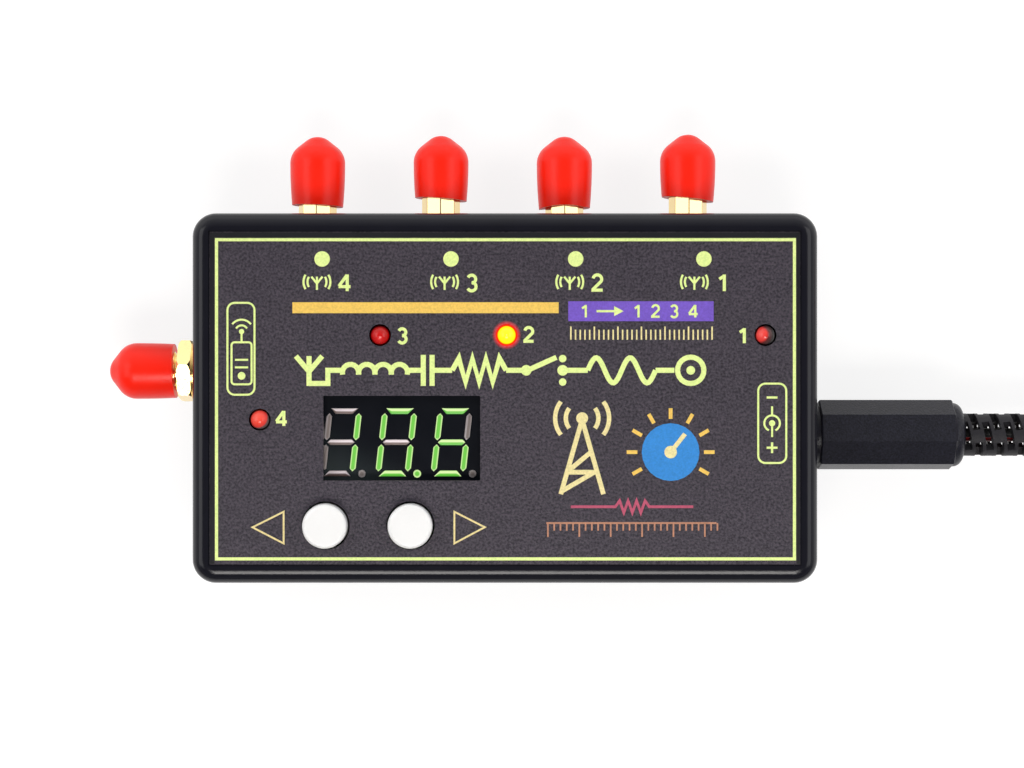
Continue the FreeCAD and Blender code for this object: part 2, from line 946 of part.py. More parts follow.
def lamp_bottom():
    """The height of the underside of the lamps' flanges."""
    return case_height + lamp_rise - lamp_height


def make_lamp(place):
    """Round-topped lamp: a flange, a straight part and a half-round dome."""
    shoulder = lamp_height - lamp_radius
    corners = [
        ORIGIN,
        V(lamp_flange_radius, 0, 0),
        V(lamp_flange_radius, 0, lamp_flange_height),
        V(lamp_radius, 0, lamp_flange_height),
        V(lamp_radius, 0, shoulder),
    ]
    edges = [Part.makeLine(a, b) for a, b in zip(corners, corners[1:])]
    slope = math.sqrt(0.5) * lamp_radius
    top = V(0, 0, lamp_height)
    edges.append(Part.Arc(corners[-1], V(slope, 0, shoulder + slope), top).toShape())
    edges.append(Part.makeLine(top, ORIGIN))
    return turned_about_z(edges).translated(V(place[0], place[1], lamp_bottom()))


def make_lamp_leads():
    """The two square wires under each lamp."""
    return group(
        [
            slab(
                lamp_lead_side,
                lamp_lead_side,
                board_top,
                lamp_bottom(),
                x + side * lamp_lead_spacing / 2,
                y,
            )
            for x, y in lamp_places
            for side in (1, -1)
        ]
    )


# Buttons and their switches


def make_switch_body(place):
    """Square switch body with a round well for the dome and the plunger's collar."""
    body = slab(switch_side, switch_side, 0.0, switch_body_height)
    well = post(switch_cavity_radius, switch_floor, switch_body_height + overcut)
    return on_board(body.cut(well), place)


def make_switch_covers():
    """Steel plates that close the switch bodies and hold the plungers in."""
    plate = slab(switch_side, switch_side, switch_body_height, switch_top)
    hole = post(plunger_radius + plunger_fit, switch_body_height - overcut, switch_top + overcut)
    return group([on_board(plate.cut(hole), place) for place in button_places.values()])


def collar_bottom():
    """The height of the underside of a plunger's collar above the board."""
    return switch_body_height - plunger_collar_play - plunger_collar_height


def stem_top():
    """How high the plungers reach, under the top walls of their caps."""
    return case_height + button_rise - button_top_wall


def make_plunger(place):
    """Switch plunger: a long stem, the collar under the cover plate, and a nub over the dome."""
    low = collar_bottom()
    stem = post(plunger_radius, low, stem_top() - board_top)
    collar = post(plunger_collar_radius, low, low + plunger_collar_height)
    nub = post(plunger_nub_radius, low - plunger_nub_height, low)
    return on_board(fused([stem, collar, nub]), place)


def make_snap_dome(place):
    """Thin domed disc that stands on the well's floor and springs the plunger back."""
    dome_rise = collar_bottom() - plunger_nub_height - dome_gap - switch_floor
    sphere = (dome_radius**2 + dome_rise**2) / (2 * dome_rise)
    half_angle = math.asin(dome_radius / sphere)
    inner = sphere - dome_thickness
    middle = V(0, 0, switch_floor - inner * math.cos(half_angle))

    def at(radius, angle):
        return middle + V(radius * math.sin(angle), 0, radius * math.cos(angle))

    edges = [
        Part.Arc(at(sphere, 0), at(sphere, half_angle / 2), at(sphere, half_angle)).toShape(),
        Part.makeLine(at(sphere, half_angle), at(inner, half_angle)),
        Part.Arc(at(inner, half_angle), at(inner, half_angle / 2), at(inner, 0)).toShape(),
        Part.makeLine(at(inner, 0), at(sphere, 0)),
    ]
    return on_board(turned_about_z(edges), place)


def make_button_cap(place):
    """Round cap pushed over the plunger's stem, standing out of the face."""
    top = case_height + button_rise
    cap = post(button_radius, top - button_height, top)
    cap = cap.makeFillet(button_edge_radius, edges_at_height(cap, top))
    bore_low = top - button_height - overcut
    bore = post(plunger_radius + button_grip, bore_low, stem_top() + button_grip)
    return cap.cut(bore).translated(V(place[0], place[1], 0))


# Coaxial jacks and their caps


def make_jack(reach, neck_reach, port):
    """Plated jack body: flange and legs on the board's edge, eight-sided neck, round thread."""
    back = -jack_flange_back
    front = back + jack_flange_thickness
    half = jack_flange_side / 2
    flange = block((-half, half), (back, front), (-half, half))
    corner = jack_thread_radius - jack_neck_drop
    neck = polygon_rod(corner, jack_neck_sides, 0.0, front - overlap, neck_reach)
    thread = rod(jack_thread_radius, neck_reach - overlap, reach)
    thread = thread.makeChamfer(jack_tip_chamfer, edges_at_y(thread, reach))
    levels = (
        (-board_drop, jack_leg_side - board_drop),
        (-board_drop - board_thickness - jack_leg_side, -board_drop - board_thickness),
    )
    sides = ((-half, jack_leg_side - half), (half - jack_leg_side, half))
    legs = [
        block(side, (back - jack_leg_length, back + overlap), level)
        for side in sides
        for level in levels
    ]
    body = fused([flange, neck, thread] + legs)
    bore = rod(insulator_radius + plated_fit, back - overcut, reach + overcut)
    mouth = rod(jack_mouth_radius, reach - jack_mouth_depth, reach + overcut)
    return at_wall(body.cut([bore, mouth]), port)


def jacks():
    """How far each jack stands out of its wall, and its port."""
    return [(antenna_reach, port) for port in antenna_ports] + [(radio_reach, radio_port)]


def make_insulators():
    """White plastic sleeves that hold the contacts in the middle of the jacks."""
    solids = []
    for reach, port in jacks():
        sleeve = rod(insulator_radius, -jack_flange_back, reach - jack_mouth_depth)
        bore = rod(contact_radius + plated_fit, -jack_flange_back - overcut, reach)
        solids.append(at_wall(sleeve.cut(bore), port))
    return group(solids)


def make_contacts():
    """Centre contacts: a socket at the mouth and a thin tail soldered on the board."""
    solids = []
    for reach, port in jacks():
        front = reach - contact_setback
        socket = rod(contact_socket_radius, front - contact_socket_depth, front + overcut)
        barrel = rod(contact_radius, -jack_flange_back, front).cut(socket)
        tail = rod(
            contact_tail_radius,
            -jack_flange_back - contact_tail_length,
            -jack_flange_back + overlap,
        )
        solids.append(at_wall(fused([barrel, tail]), port))
    return group(solids)


def make_radio_nut():
    """Hexagon nut that clamps the radio jack, its corners turned away on both faces."""
    low = washer_thickness
    high = low + nut_thickness
    corner = nut_across_flats / math.sqrt(3)
    hexagon = polygon_rod(corner, 6, nut_turn, low, high)
    disc = rod(corner, low, high)
    disc = disc.makeChamfer(nut_chamfer, edges_at_y(disc, low) + edges_at_y(disc, high))
    bore = rod(jack_thread_radius + thread_seat, low - overcut, high + overcut)
    return at_wall(hexagon.common(disc).cut(bore), radio_port)


def make_radio_washer():
    """Plain ring between the nut and the case."""
    ring = rod(washer_radius, 0.0, washer_thickness)
    bore_radius = jack_thread_radius + washer_bore_clearance
    bore = rod(bore_radius, -overcut, washer_thickness + overcut)
    return at_wall(ring.cut(bore), radio_port)


def make_dust_cap(sizes, reach, port):
    """Soft cap: nose arc, straight cone, shoulder arc, and a skirt that draws in to the mouth."""
    length, tip_gap, slant, hollow, mouth_radius, shoulder_radius = sizes
    tip = reach + tip_gap + cap_crown
    mouth = tip - length
    slope = math.radians(cap_cone_slope)

    def on_arc(centre_x, centre_y, radius, angle):
        return V(centre_x + radius * math.sin(angle), centre_y + radius * math.cos(angle), 0)

    nose_y = tip - cap_nose_round
    nose_end = on_arc(0, nose_y, cap_nose_round, slope)
    round_x = shoulder_radius - cap_shoulder_round
    cone_end_x = round_x + cap_shoulder_round * math.sin(slope)
    cone_end_y = nose_end.y - math.tan(slope) * (cone_end_x - nose_end.x)
    round_y = cone_end_y - cap_shoulder_round * math.cos(slope)
    draw_in = shoulder_radius - mouth_radius
    skirt = round_y - mouth
    skirt_round = (draw_in**2 + skirt**2) / (2 * draw_in)
    skirt_x = shoulder_radius - skirt_round
    skirt_angle = math.asin((skirt + overcut) / skirt_round) + math.pi / 2
    top = V(0, tip, 0)
    shoulder = V(shoulder_radius, round_y, 0)
    skirt_end = on_arc(skirt_x, round_y, skirt_round, skirt_angle)
    bottom = V(0, skirt_end.y, 0)
    edges = [
        Part.Arc(top, on_arc(0, nose_y, cap_nose_round, slope / 2), nose_end).toShape(),
        Part.makeLine(nose_end, V(cone_end_x, cone_end_y, 0)),
        Part.Arc(
            V(cone_end_x, cone_end_y, 0),
            on_arc(round_x, round_y, cap_shoulder_round, (slope + math.pi / 2) / 2),
            shoulder,
        ).toShape(),
        Part.Arc(
            shoulder,
            on_arc(skirt_x, round_y, skirt_round, (skirt_angle + math.pi / 2) / 2),
            skirt_end,
        ).toShape(),
        Part.makeLine(skirt_end, bottom),
        Part.makeLine(bottom, top),
    ]
    cap = turned_about_y(edges)
    bore_radius = jack_thread_radius + cap_grip_clearance
    bore_end = tip - cap_crown
    bore = rod(bore_radius, skirt_end.y - overcut, bore_end)
    bore = bore.makeFillet(cap_bore_round, edges_at_y(bore, bore_end))
    wide = 2 * shoulder_radius
    trim = block((-wide, wide), (mouth - wide, mouth), (-wide, wide))
    trim.rotate(V(0, mouth, 0), Z_AXIS, slant)
    cuts = [bore, trim]
    if hollow > 0:
        scoop = (mouth_radius**2 + hollow**2) / (2 * hollow)
        cuts.append(post(scoop, -wide, wide, 0.0, mouth + hollow - scoop))
    return at_wall(cap.cut(cuts), port)


# Inlet


def make_inlet_housing():
    """Moulded inlet behind the wall: round socket, collar in the wall, ears on the board."""
    half = inlet_width / 2
    tall = inlet_height / 2
    body = block((-half, half), (inlet_back, inlet_front), (-tall, tall))
    collar = rod(inlet_collar_radius, inlet_front - overlap, -inlet_collar_recess)
    middle = (inlet_back + inlet_front) / 2
    ears = block(
        (-half - inlet_ear_width, half + inlet_ear_width),
        (middle - inlet_ear_length / 2, middle + inlet_ear_length / 2),
        (-board_drop, inlet_ear_thickness - board_drop),
    )
    socket = rod(inlet_bore_radius, inlet_back + inlet_rear_wall, overcut)
    pin_hole = rod(inlet_pin_radius + plated_fit, inlet_back - overcut, 0.0)
    tab_slot = block(
        (-inlet_tab_width / 2 - plated_fit, inlet_tab_width / 2 + plated_fit),
        (inlet_back - overcut, inlet_back + inlet_rear_wall),
        (-inlet_tab_thickness / 2 - plated_fit, inlet_tab_thickness / 2 + plated_fit),
    )
    well_half = spring_width / 2 + spring_side_gap
    well = block(
        (-well_half, well_half),
        (inlet_back - overcut, inlet_front - inlet_rear_wall),
        (-inlet_bore_radius - spring_drop - spring_thickness, -spring_well_top),
    )
    return at_wall(fused([body, collar, ears]).cut([socket, pin_hole, tab_slot, well]), inlet_port)


def make_inlet_pin():
    """Centre pin with a flat tab that is soldered on the board behind the inlet."""
    front = -inlet_pin_recess
    pin = rod(inlet_pin_radius, inlet_back, front)
    pin = pin.makeFillet(inlet_pin_round, edges_at_y(pin, front))
    tab = block(
        (-inlet_tab_width / 2, inlet_tab_width / 2),
        (inlet_back - inlet_tab_length, inlet_back + overlap),
        (-inlet_tab_thickness / 2, inlet_tab_thickness / 2),
    )
    return at_wall(fused([pin, tab]), inlet_port)


def make_inlet_spring():
    """Bent contact strip that bears on the plug's sleeve from below."""
    top = -plug_sleeve_radius - spring_sleeve_gap
    low = -inlet_bore_radius - spring_drop
    start = inlet_back - spring_tail_length
    knee = inlet_back + inlet_rear_wall
    crest = inlet_front - spring_crest_depth
    tip = inlet_front - inlet_rear_wall - spring_side_gap
    upper = [(start, low), (knee, low), (crest, top), (tip, top - spring_tip_dip)]
    lower = [(y, z - spring_thickness) for y, z in reversed(upper)]
    corners = [V(-spring_width / 2, y, z) for y, z in upper + lower]
    outline = Part.makePolygon(corners + corners[:1])
    return at_wall(Part.Face(outline).extrude(V(spring_width, 0, 0)), inlet_port)


# Plug


def make_plug_sleeve():
    """Turned sleeve with a flange inside the cover and a long lug that ends behind the lead."""
    front = -plug_sleeve_depth
    shell = plug_sleeve_radius - plug_sleeve_wall
    flange_low = plug_wall_gap + plug_cover_end_wall
    flange_high = flange_low + plug_flange_thickness
    tube = rod(plug_sleeve_radius, front, flange_high)
    tube = tube.makeChamfer(plug_sleeve_chamfer, edges_at_y(tube, front))
    flange = rod(plug_flange_radius, flange_low, flange_high)
    bore = rod(shell, front - overcut, flange_high + overcut)
    lug = block(
        (-plug_lug_width / 2, plug_lug_width / 2),
        (flange_high - overlap, lead_start),
        (-shell - plug_lug_thickness, -shell),
    )
    stop = block(
        (-plug_lug_width / 2, plug_lug_width / 2),
        (lead_start - plug_lug_thickness, lead_start),
        (-shell - plug_lug_thickness, lead_radius),
    )
    return at_wall(fused([fused([tube, flange]).cut(bore), lug, stop]), inlet_port)


def make_plug_insulator():
    """Plastic core between the sleeve and the centre contact."""
    front = -plug_sleeve_depth + plug_shoulder_setback
    back = plug_wall_gap + plug_cover_end_wall + plug_flange_thickness + plug_contact_tail / 2
    core = rod(plug_sleeve_radius - plug_sleeve_wall - plated_fit, front, back)
    bore = rod(plug_contact_radius + plated_fit, front - overcut, back + overcut)
    return at_wall(core.cut(bore), inlet_port)


def make_plug_contact():
    """Centre contact: open towards the inlet's pin, solid at its solder end."""
    front = -plug_sleeve_depth + plug_shoulder_setback
    back = plug_wall_gap + plug_cover_end_wall + plug_flange_thickness + plug_contact_tail
    barrel = rod(plug_contact_radius, front, back)
    bore = rod(inlet_pin_radius + plug_pin_clearance, front - overcut, 0.0)
    return at_wall(barrel.cut(bore), inlet_port)


def make_plug_cover():
    """Eight-sided moulded cover, hollow inside, its rear end turned down and rounded."""
    front = plug_wall_gap
    rear = plug_cover_rear
    step = rear - plug_cover_dome_length
    half_side = 180.0 / plug_cover_sides
    corner = plug_cover_flats / 2 / math.cos(math.radians(half_side))
    prism = polygon_rod(corner, plug_cover_sides, half_side + plug_cover_turn, front, step)
    prism = prism.makeChamfer(plug_cover_bevel, edges_at_y(prism, front) + edges_at_y(prism, step))
    dome = rod(plug_cover_dome_radius, step - overlap, rear)
    dome = dome.makeFillet(plug_cover_dome_round, edges_at_y(dome, rear))
    body = fused([prism, dome])
    room_front = front + plug_cover_end_wall
    room_rear = rear - plug_cover_end_wall
    room = rod(plug_cover_bore_radius, room_front, room_rear)
    sleeve_hole = rod(plug_sleeve_radius + plug_cover_play, front - overcut, room_front)
    relief_hole = rod(relief_neck_radius + plug_cover_play, room_rear, rear + overcut)
    return at_wall(body.cut([room, sleeve_hole, relief_hole]), inlet_port)


def make_strain_relief():
    """Soft tail: a tube with rings of windows, every other ring turned by half a window's pitch."""
    rear = plug_cover_rear
    collar_high = rear - plug_cover_end_wall
    collar_low = collar_high - relief_collar_thickness
    end = rear + relief_length
    tail = rod(relief_radius, rear, end)
    tail = tail.makeFillet(relief_end_round, edges_at_y(tail, end))
    neck = rod(relief_neck_radius, collar_high - overlap, rear + overlap)
    collar = rod(plug_cover_bore_radius - plug_cover_play, collar_low, collar_high)
    bore = rod(relief_bore_radius, collar_low - overcut, end + overcut)
    body = fused([tail, neck, collar]).cut(bore)
    window_pitch = 360.0 / relief_window_count
    cuts = []
    for ring in range(relief_ring_count):
        y = rear + relief_first_ring + ring * relief_ring_pitch
        half_pitch = window_pitch / 2 if ring % 2 else 0.0
        for window in range(relief_window_count):
            middle = relief_turn + window * window_pitch + half_pitch
            sector = Part.makeCylinder(
                relief_radius + overcut,
                relief_window_width,
                V(0, -relief_window_width / 2, 0),
                Y_AXIS,
                relief_window_angle,
            )
            sector.rotate(ORIGIN, Y_AXIS, relief_window_angle / 2 - middle)
            sector.rotate(ORIGIN, Z_AXIS, relief_ring_tilt)
            cuts.append(sector.translated(V(0, y, 0)))
    return at_wall(body.cut(cuts), inlet_port)


# Lead


def rounded_path(points, share):
    """Straight runs joined by tangent arcs, each as large as its two runs allow, and their radii."""
    edges = []
    radii = []
    start = points[0]
    for before, corner, after in zip(points, points[1:], points[2:]):
        incoming = (corner - before).normalize()
        outgoing = (after - corner).normalize()
        turn = incoming.getAngle(outgoing)
        setback = share * min((corner - before).Length, (after - corner).Length)
        radius = setback / math.tan(turn / 2)
        first = corner - incoming * setback
        last = corner + outgoing * setback
        inward = (outgoing - incoming).normalize()
        middle = corner + inward * (radius / math.cos(turn / 2) - radius)
        edges.append(Part.LineSegment(start, first).toShape())
        edges.append(Part.Arc(first, middle, last).toShape())
        radii.append(radius)
        start = last
    edges.append(Part.LineSegment(start, points[-1]).toShape())
    return Part.Wire(edges), radii


def make_lead():
    """The lead from the plug, through the strain relief and down to the coil."""
    begin = at_wall(Part.Vertex(0, lead_start, 0), inlet_port).Point
    finish = V(
        lead_coil_x - lead_stub_length, lead_coil_y - lead_coil_turn_radius, lead_radius
    )
    fall = axis_height - lead_radius
    way = [
        V(half_length + out, begin.y + aside, lead_radius + share * fall)
        for out, aside, share in lead_route
    ]
    points = [begin] + way + [finish]
    path, radii = rounded_path(points, arc_share)
    ring = Part.Wire(Part.makeCircle(lead_radius, begin, points[1] - begin))
    tube = path.makePipeShell([ring], True, False)
    expected = math.pi * lead_radius**2 * path.Length
    print("lead bend radii:", ", ".join(f"{radius:.0f}" for radius in radii))
    print(f"lead tube: {path.Length:.1f} mm, volume {tube.Volume:.1f} of {expected:.1f}")
    return tube


def lead_coil_middle_radius():
    """The radius of the coil's middle column of turns."""
    return lead_coil_turn_radius - (lead_coil_column_count - 1) / 2 * lead_coil_pitch


def make_lead_coil():
    """The outer shape of the wound length, with the stub that the lead enters by and its far end."""
    middle = lead_coil_middle_radius()
    half = lead_coil_turn_radius - middle + lead_radius
    x, y = lead_coil_x, lead_coil_y
    drum = post(middle + half, 0.0, lead_coil_height, x, y)
    drum = drum.cut(post(middle - half, -overcut, lead_coil_height + overcut, x, y))
    stub = Part.makeCylinder(
        lead_radius,
        lead_stub_length,
        V(x - lead_stub_length, y - lead_coil_turn_radius, lead_radius),
        X_AXIS,
    )
    far_end = block(
        (x - lead_end_length / 2, x + lead_end_length / 2),
        (y + middle - lead_radius, y + middle + lead_radius),
        (lead_coil_height - lead_end_sink, lead_coil_height + lead_end_thickness),
    )
    return fused([drum, stub, far_end])


def make_lead_ends():
    """The two tinned wire ends that leave the lead's far end."""
    middle = lead_coil_middle_radius()
    start = lead_coil_x - lead_end_length / 2
    z = lead_coil_height + lead_end_thickness / 2
    tips = [
        Part.makeCylinder(
            lead_tip_radius,
            lead_tip_length,
            V(start - lead_tip_length, lead_coil_y + middle + side * lead_core_spacing / 2, z),
            X_AXIS,
        )
        for side in (1, -1)
    ]
    return group(tips)


def all_parts():
    """Every node's name and shape."""
    parts = {
        "lid": make_lid(),
        "base": make_base(),
        "face_label": make_face_label(),
        "case_screws": make_case_screws(),
        "circuit_board": make_board(),
        "board_screws": make_board_screws(),
        "rf_relays": make_rf_relays(),
        "microcontroller": make_microcontroller(),
        "relay_driver": make_relay_driver(),
        "voltage_regulator": make_voltage_regulator(),
        "electrolytic_capacitors": make_electrolytic_capacitors(),
        "crystal": make_crystal(),
        "chip_parts": make_chip_parts(),
        "display_housing": make_display_housing(),
        "display_segments_lit": display_segments(True),
        "display_segments_unlit": display_segments(False),
        "display_pins": make_display_pins(),
        "display_sockets": make_display_sockets(),
        "led_leads": make_lamp_leads(),
        "switch_covers": make_switch_covers(),
        "radio_jack": make_jack(radio_reach, -case_wall, radio_port),
        "radio_nut": make_radio_nut(),
        "radio_washer": make_radio_washer(),
        "jack_insulators": make_insulators(),
        "jack_contacts": make_contacts(),
        "inlet_housing": make_inlet_housing(),
        "inlet_pin": make_inlet_pin(),
        "inlet_spring": make_inlet_spring(),
        "plug_sleeve": make_plug_sleeve(),
        "plug_insulator": make_plug_insulator(),
        "plug_contact": make_plug_contact(),
        "plug_cover": make_plug_cover(),
        "plug_strain_relief": make_strain_relief(),
        "dc_lead": make_lead(),
        "dc_lead_coil": make_lead_coil(),
        "dc_lead_ends": make_lead_ends(),
        "dust_cap_radio": make_dust_cap(cap_sizes[-1], radio_reach, radio_port),
    }
    for number, (port, sizes) in enumerate(zip(antenna_ports, cap_sizes), start=1):
        parts[f"antenna_jack_{number}"] = make_jack(antenna_reach, antenna_neck_reach, port)
        parts[f"dust_cap_{number}"] = make_dust_cap(sizes, antenna_reach, port)
    for number, place in enumerate(lamp_places, start=1):
        parts[f"led_lens_{number}"] = make_lamp(place)
    for side, place in button_places.items():
        parts[f"{side}_button_cap"] = make_button_cap(place)
        parts[f"{side}_switch_plunger"] = make_plunger(place)
        parts[f"{side}_switch_body"] = make_switch_body(place)
        parts[f"{side}_snap_dome"] = make_snap_dome(place)
    return parts


os.makedirs("parts", exist_ok=True)
for name, shape in all_parts().items():
    shape.exportStep(f"parts/{name}.step")
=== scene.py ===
import bpy
import numpy as np
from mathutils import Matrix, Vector


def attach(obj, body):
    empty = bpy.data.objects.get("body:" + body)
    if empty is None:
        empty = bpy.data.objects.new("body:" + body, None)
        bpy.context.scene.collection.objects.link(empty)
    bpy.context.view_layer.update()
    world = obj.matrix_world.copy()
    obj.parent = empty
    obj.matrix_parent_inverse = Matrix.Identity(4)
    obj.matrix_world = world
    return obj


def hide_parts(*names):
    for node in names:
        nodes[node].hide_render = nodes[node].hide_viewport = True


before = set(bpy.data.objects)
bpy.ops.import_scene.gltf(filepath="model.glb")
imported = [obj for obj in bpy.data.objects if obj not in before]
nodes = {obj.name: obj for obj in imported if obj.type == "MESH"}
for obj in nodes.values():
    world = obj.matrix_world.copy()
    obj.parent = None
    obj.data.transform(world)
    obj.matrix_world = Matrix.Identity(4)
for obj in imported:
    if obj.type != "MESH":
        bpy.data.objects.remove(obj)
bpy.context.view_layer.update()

mm = 0.001

# Camera
# It looks straight down on the switch's face from 380 mm above the table, a little right of and
# behind the middle of the case.

camera = bpy.data.objects.new("camera", bpy.data.cameras.new("camera"))
camera.location = (1.13 * mm, 2.25 * mm, 380 * mm)
camera.data.lens = 78.4
camera.data.sensor_width = 36.0
camera.data.clip_start = 0.01
bpy.context.scene.collection.objects.link(camera)
bpy.context.scene.camera = camera
bpy.context.scene.view_settings.view_transform = "Standard"

# Lead
# A twin lead: a red and a black core, each stranded wire in soft vinyl, extruded side by side. It
# leaves the plug's strain relief, falls to the table, and its spare length is wound in a coil.

plug_y, plug_z = -6.1, 12.5
lead_rest = 0.8  # the height of the lead's middle where it lies on the table
route = [
    (71.8, plug_y, plug_z),
    (97.0, plug_y, plug_z),
    (113.8, -6.7, 6.4),
    (131.5, plug_y, lead_rest),
    (145.0, plug_y, lead_rest),
]
coil_middle = np.array([157.0, 12.1])
coil_columns = (18.2, 15.1, 12.0)
layer_height = 1.55
layer_count = 4
points_per_turn = 24
held_angle = 270.0  # a turn keeps its column and layer this far round
shift_angle = 45.0  # and moves to the next over this angle
coil_end_angle = 3780.0
climb_start, climb_end, cross_end = 125.0, 80.0, 30.0  # degrees before the coil's end


def coil_places():
    """The wound turns: the angle grows evenly from the bottom of the circle; each turn keeps its
    radius and height, then slips to the next place, in and out through the columns, layer by layer.
    Before the end it climbs on the top layer and crosses to the middle column."""
    places = []
    for layer in range(layer_count):
        columns = coil_columns if layer % 2 == 0 else coil_columns[::-1]
        places += [(column, lead_rest + layer * layer_height) for column in columns]
    period = held_angle + shift_angle
    top = lead_rest + layer_count * layer_height
    starts = [period * k for k in range(len(places))]
    knots = [(starts[0], places[0])]
    for start, before, after in zip(starts[1:], places, places[1:]):
        knots += [(start - shift_angle, before), (start, after)]
    last = places[-1][0]
    knots += [
        (coil_end_angle - climb_start, places[-1]),
        (coil_end_angle - climb_end, (last, top)),
        (coil_end_angle - cross_end, (coil_columns[1], top)),
        (coil_end_angle, (coil_columns[1], top)),
    ]
    angles = np.arange(0.0, coil_end_angle + 0.1, 360.0 / points_per_turn)
    at = [knot[0] for knot in knots]
    radius = np.interp(angles, at, [knot[1][0] for knot in knots])
    height = np.interp(angles, at, [knot[1][1] for knot in knots])
    turn = np.radians(angles - 90.0)
    x = coil_middle[0] + radius * np.cos(turn)
    y = coil_middle[1] + radius * np.sin(turn)
    return np.column_stack([x, y, height])


lead_end = [(coil_middle[0] - 5.0, coil_middle[1] + coil_columns[1], 7.0)]
lead_points = np.vstack([route, coil_places(), lead_end]) * mm


def spline_line(name, points, steps):
    """Points read along a smooth curve that has these points as its control points."""
    curve = bpy.data.curves.new(name, "CURVE")
    curve.dimensions = "3D"
    curve.resolution_u = steps
    spline = curve.splines.new("NURBS")
    spline.points.add(len(points) - 1)
    weighted = np.column_stack([points, np.ones(len(points))])
    spline.points.foreach_set("co", weighted.astype(np.float32).ravel())
    spline.order_u = 3
    spline.use_endpoint_u = True
    holder = bpy.data.objects.new(name, curve)
    read = bpy.data.meshes.new_from_object(holder)
    line = np.zeros(len(read.vertices) * 3, np.float32)
    read.vertices.foreach_get("co", line)
    bpy.data.objects.remove(holder)
    bpy.data.meshes.remove(read)
    bpy.data.curves.remove(curve)
    return line.reshape(-1, 3).astype(float)


def piece(name, points, faces, finishes, body, face_finish=None, smooth=True):
    """An object of the scene from its points in metres and its faces, riding on a body."""
    mesh = bpy.data.meshes.new(name)
    mesh.from_pydata(np.asarray(points).tolist(), [], [list(map(int, face)) for face in faces])
    for finish in finishes:
        mesh.materials.append(finish)
    if face_finish is not None:
        mesh.polygons.foreach_set("material_index", np.asarray(face_finish, np.int32))
    if smooth:
        mesh.shade_smooth()
    mesh.update()
    made = bpy.data.objects.new(name, mesh)
    bpy.context.scene.collection.objects.link(made)
    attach(made, body)
    return made


def grid_faces(rows, around, closed=True):
    """The four-cornered faces of a grid of rows of points, each row closed round if asked."""
    columns = around if closed else around - 1
    row, column = np.meshgrid(np.arange(rows - 1), np.arange(columns), indexing="ij")
    beside = (column + 1) % around
    first = row * around
    after = first + around
    faces = np.stack([first + column, first + beside, after + beside, after + column], -1)
    return faces.reshape(-1, 4)


def tube_faces(count, around):
    """The faces of a row of rings, with one face over each end."""
    ends = [list(range(around))[::-1], list(range((count - 1) * around, count * around))]
    return grid_faces(count, around).tolist() + ends


def spread(*parts):
    """Points over a grid: each part, a row, a column or one number, is spread over all of it."""
    return np.stack(np.broadcast_arrays(*parts), -1)


def join(shapes):
    """Several shapes, each with its points and its faces, as one."""
    starts = np.cumsum([0] + [len(points) for points, _ in shapes])
    joined = []
    for start, (_, faces) in zip(starts, shapes):
        joined += [[corner + start for corner in face] for face in faces]
    return np.vstack([points for points, _ in shapes]), joined


def along(line, profile, twist=0.0):
    """A profile carried along a line: at each of its points the profile's two numbers are steps
    sideways, level and square to the line, and upwards, square to both, turned about the line by
    the twist there in degrees. Returns points and faces, with both ends closed."""
    ahead = np.gradient(line, axis=0)
    ahead /= np.linalg.norm(ahead, axis=1, keepdims=True)
    side = np.cross(ahead, [0.0, 0.0, 1.0])
    side /= np.linalg.norm(side, axis=1, keepdims=True)
    up = np.cross(side, ahead)
    turn = np.radians(np.broadcast_to(twist, len(line)))[:, None]
    level, square = profile[None, :, 0], profile[None, :, 1]
    step_side = (level * np.cos(turn) + square * np.sin(turn))[..., None]
    step_up = (square * np.cos(turn) - level * np.sin(turn))[..., None]
    rings = line[:, None] + step_side * side[:, None] + step_up * up[:, None]
    return rings.reshape(-1, 3), tube_faces(*rings.shape[:2])


def feed(tree, node, inputs):
    """Sets a node's inputs: another node's output is linked, anything else is a plain value."""
    for socket, value in inputs.items():
        if isinstance(value, bpy.types.NodeSocket):
            tree.links.new(value, node.inputs[socket])
        else:
            node.inputs[socket].default_value = value


def add_node(tree, kind, inputs, **settings):
    """A new node, whose own settings are made before its inputs are fed."""
    made = tree.nodes.new("ShaderNode" + kind)
    for setting, value in settings.items():
        setattr(made, setting, value)
    feed(tree, made, inputs)
    return made


def ranged(tree, value, low, high, to_low=0.0, to_high=1.0, way="LINEAR"):
    """A value carried from one range to another, and held at both ends."""
    ends = {"From Min": low, "From Max": high, "To Min": to_low, "To Max": to_high}
    made = add_node(tree, "MapRange", {"Value": value, **ends}, interpolation_type=way)
    return made.outputs["Result"]


def mixed(tree, share, one, other, **settings):
    """One colour blended into another by a share."""
    ends = {"Factor": share, "A": one, "B": other}
    return add_node(tree, "Mix", ends, data_type="RGBA", **settings).outputs["Result"]


def dress(finish, inputs):
    """Sets inputs of a finish's shader."""
    feed(finish.node_tree, finish.node_tree.nodes["Principled BSDF"], inputs)


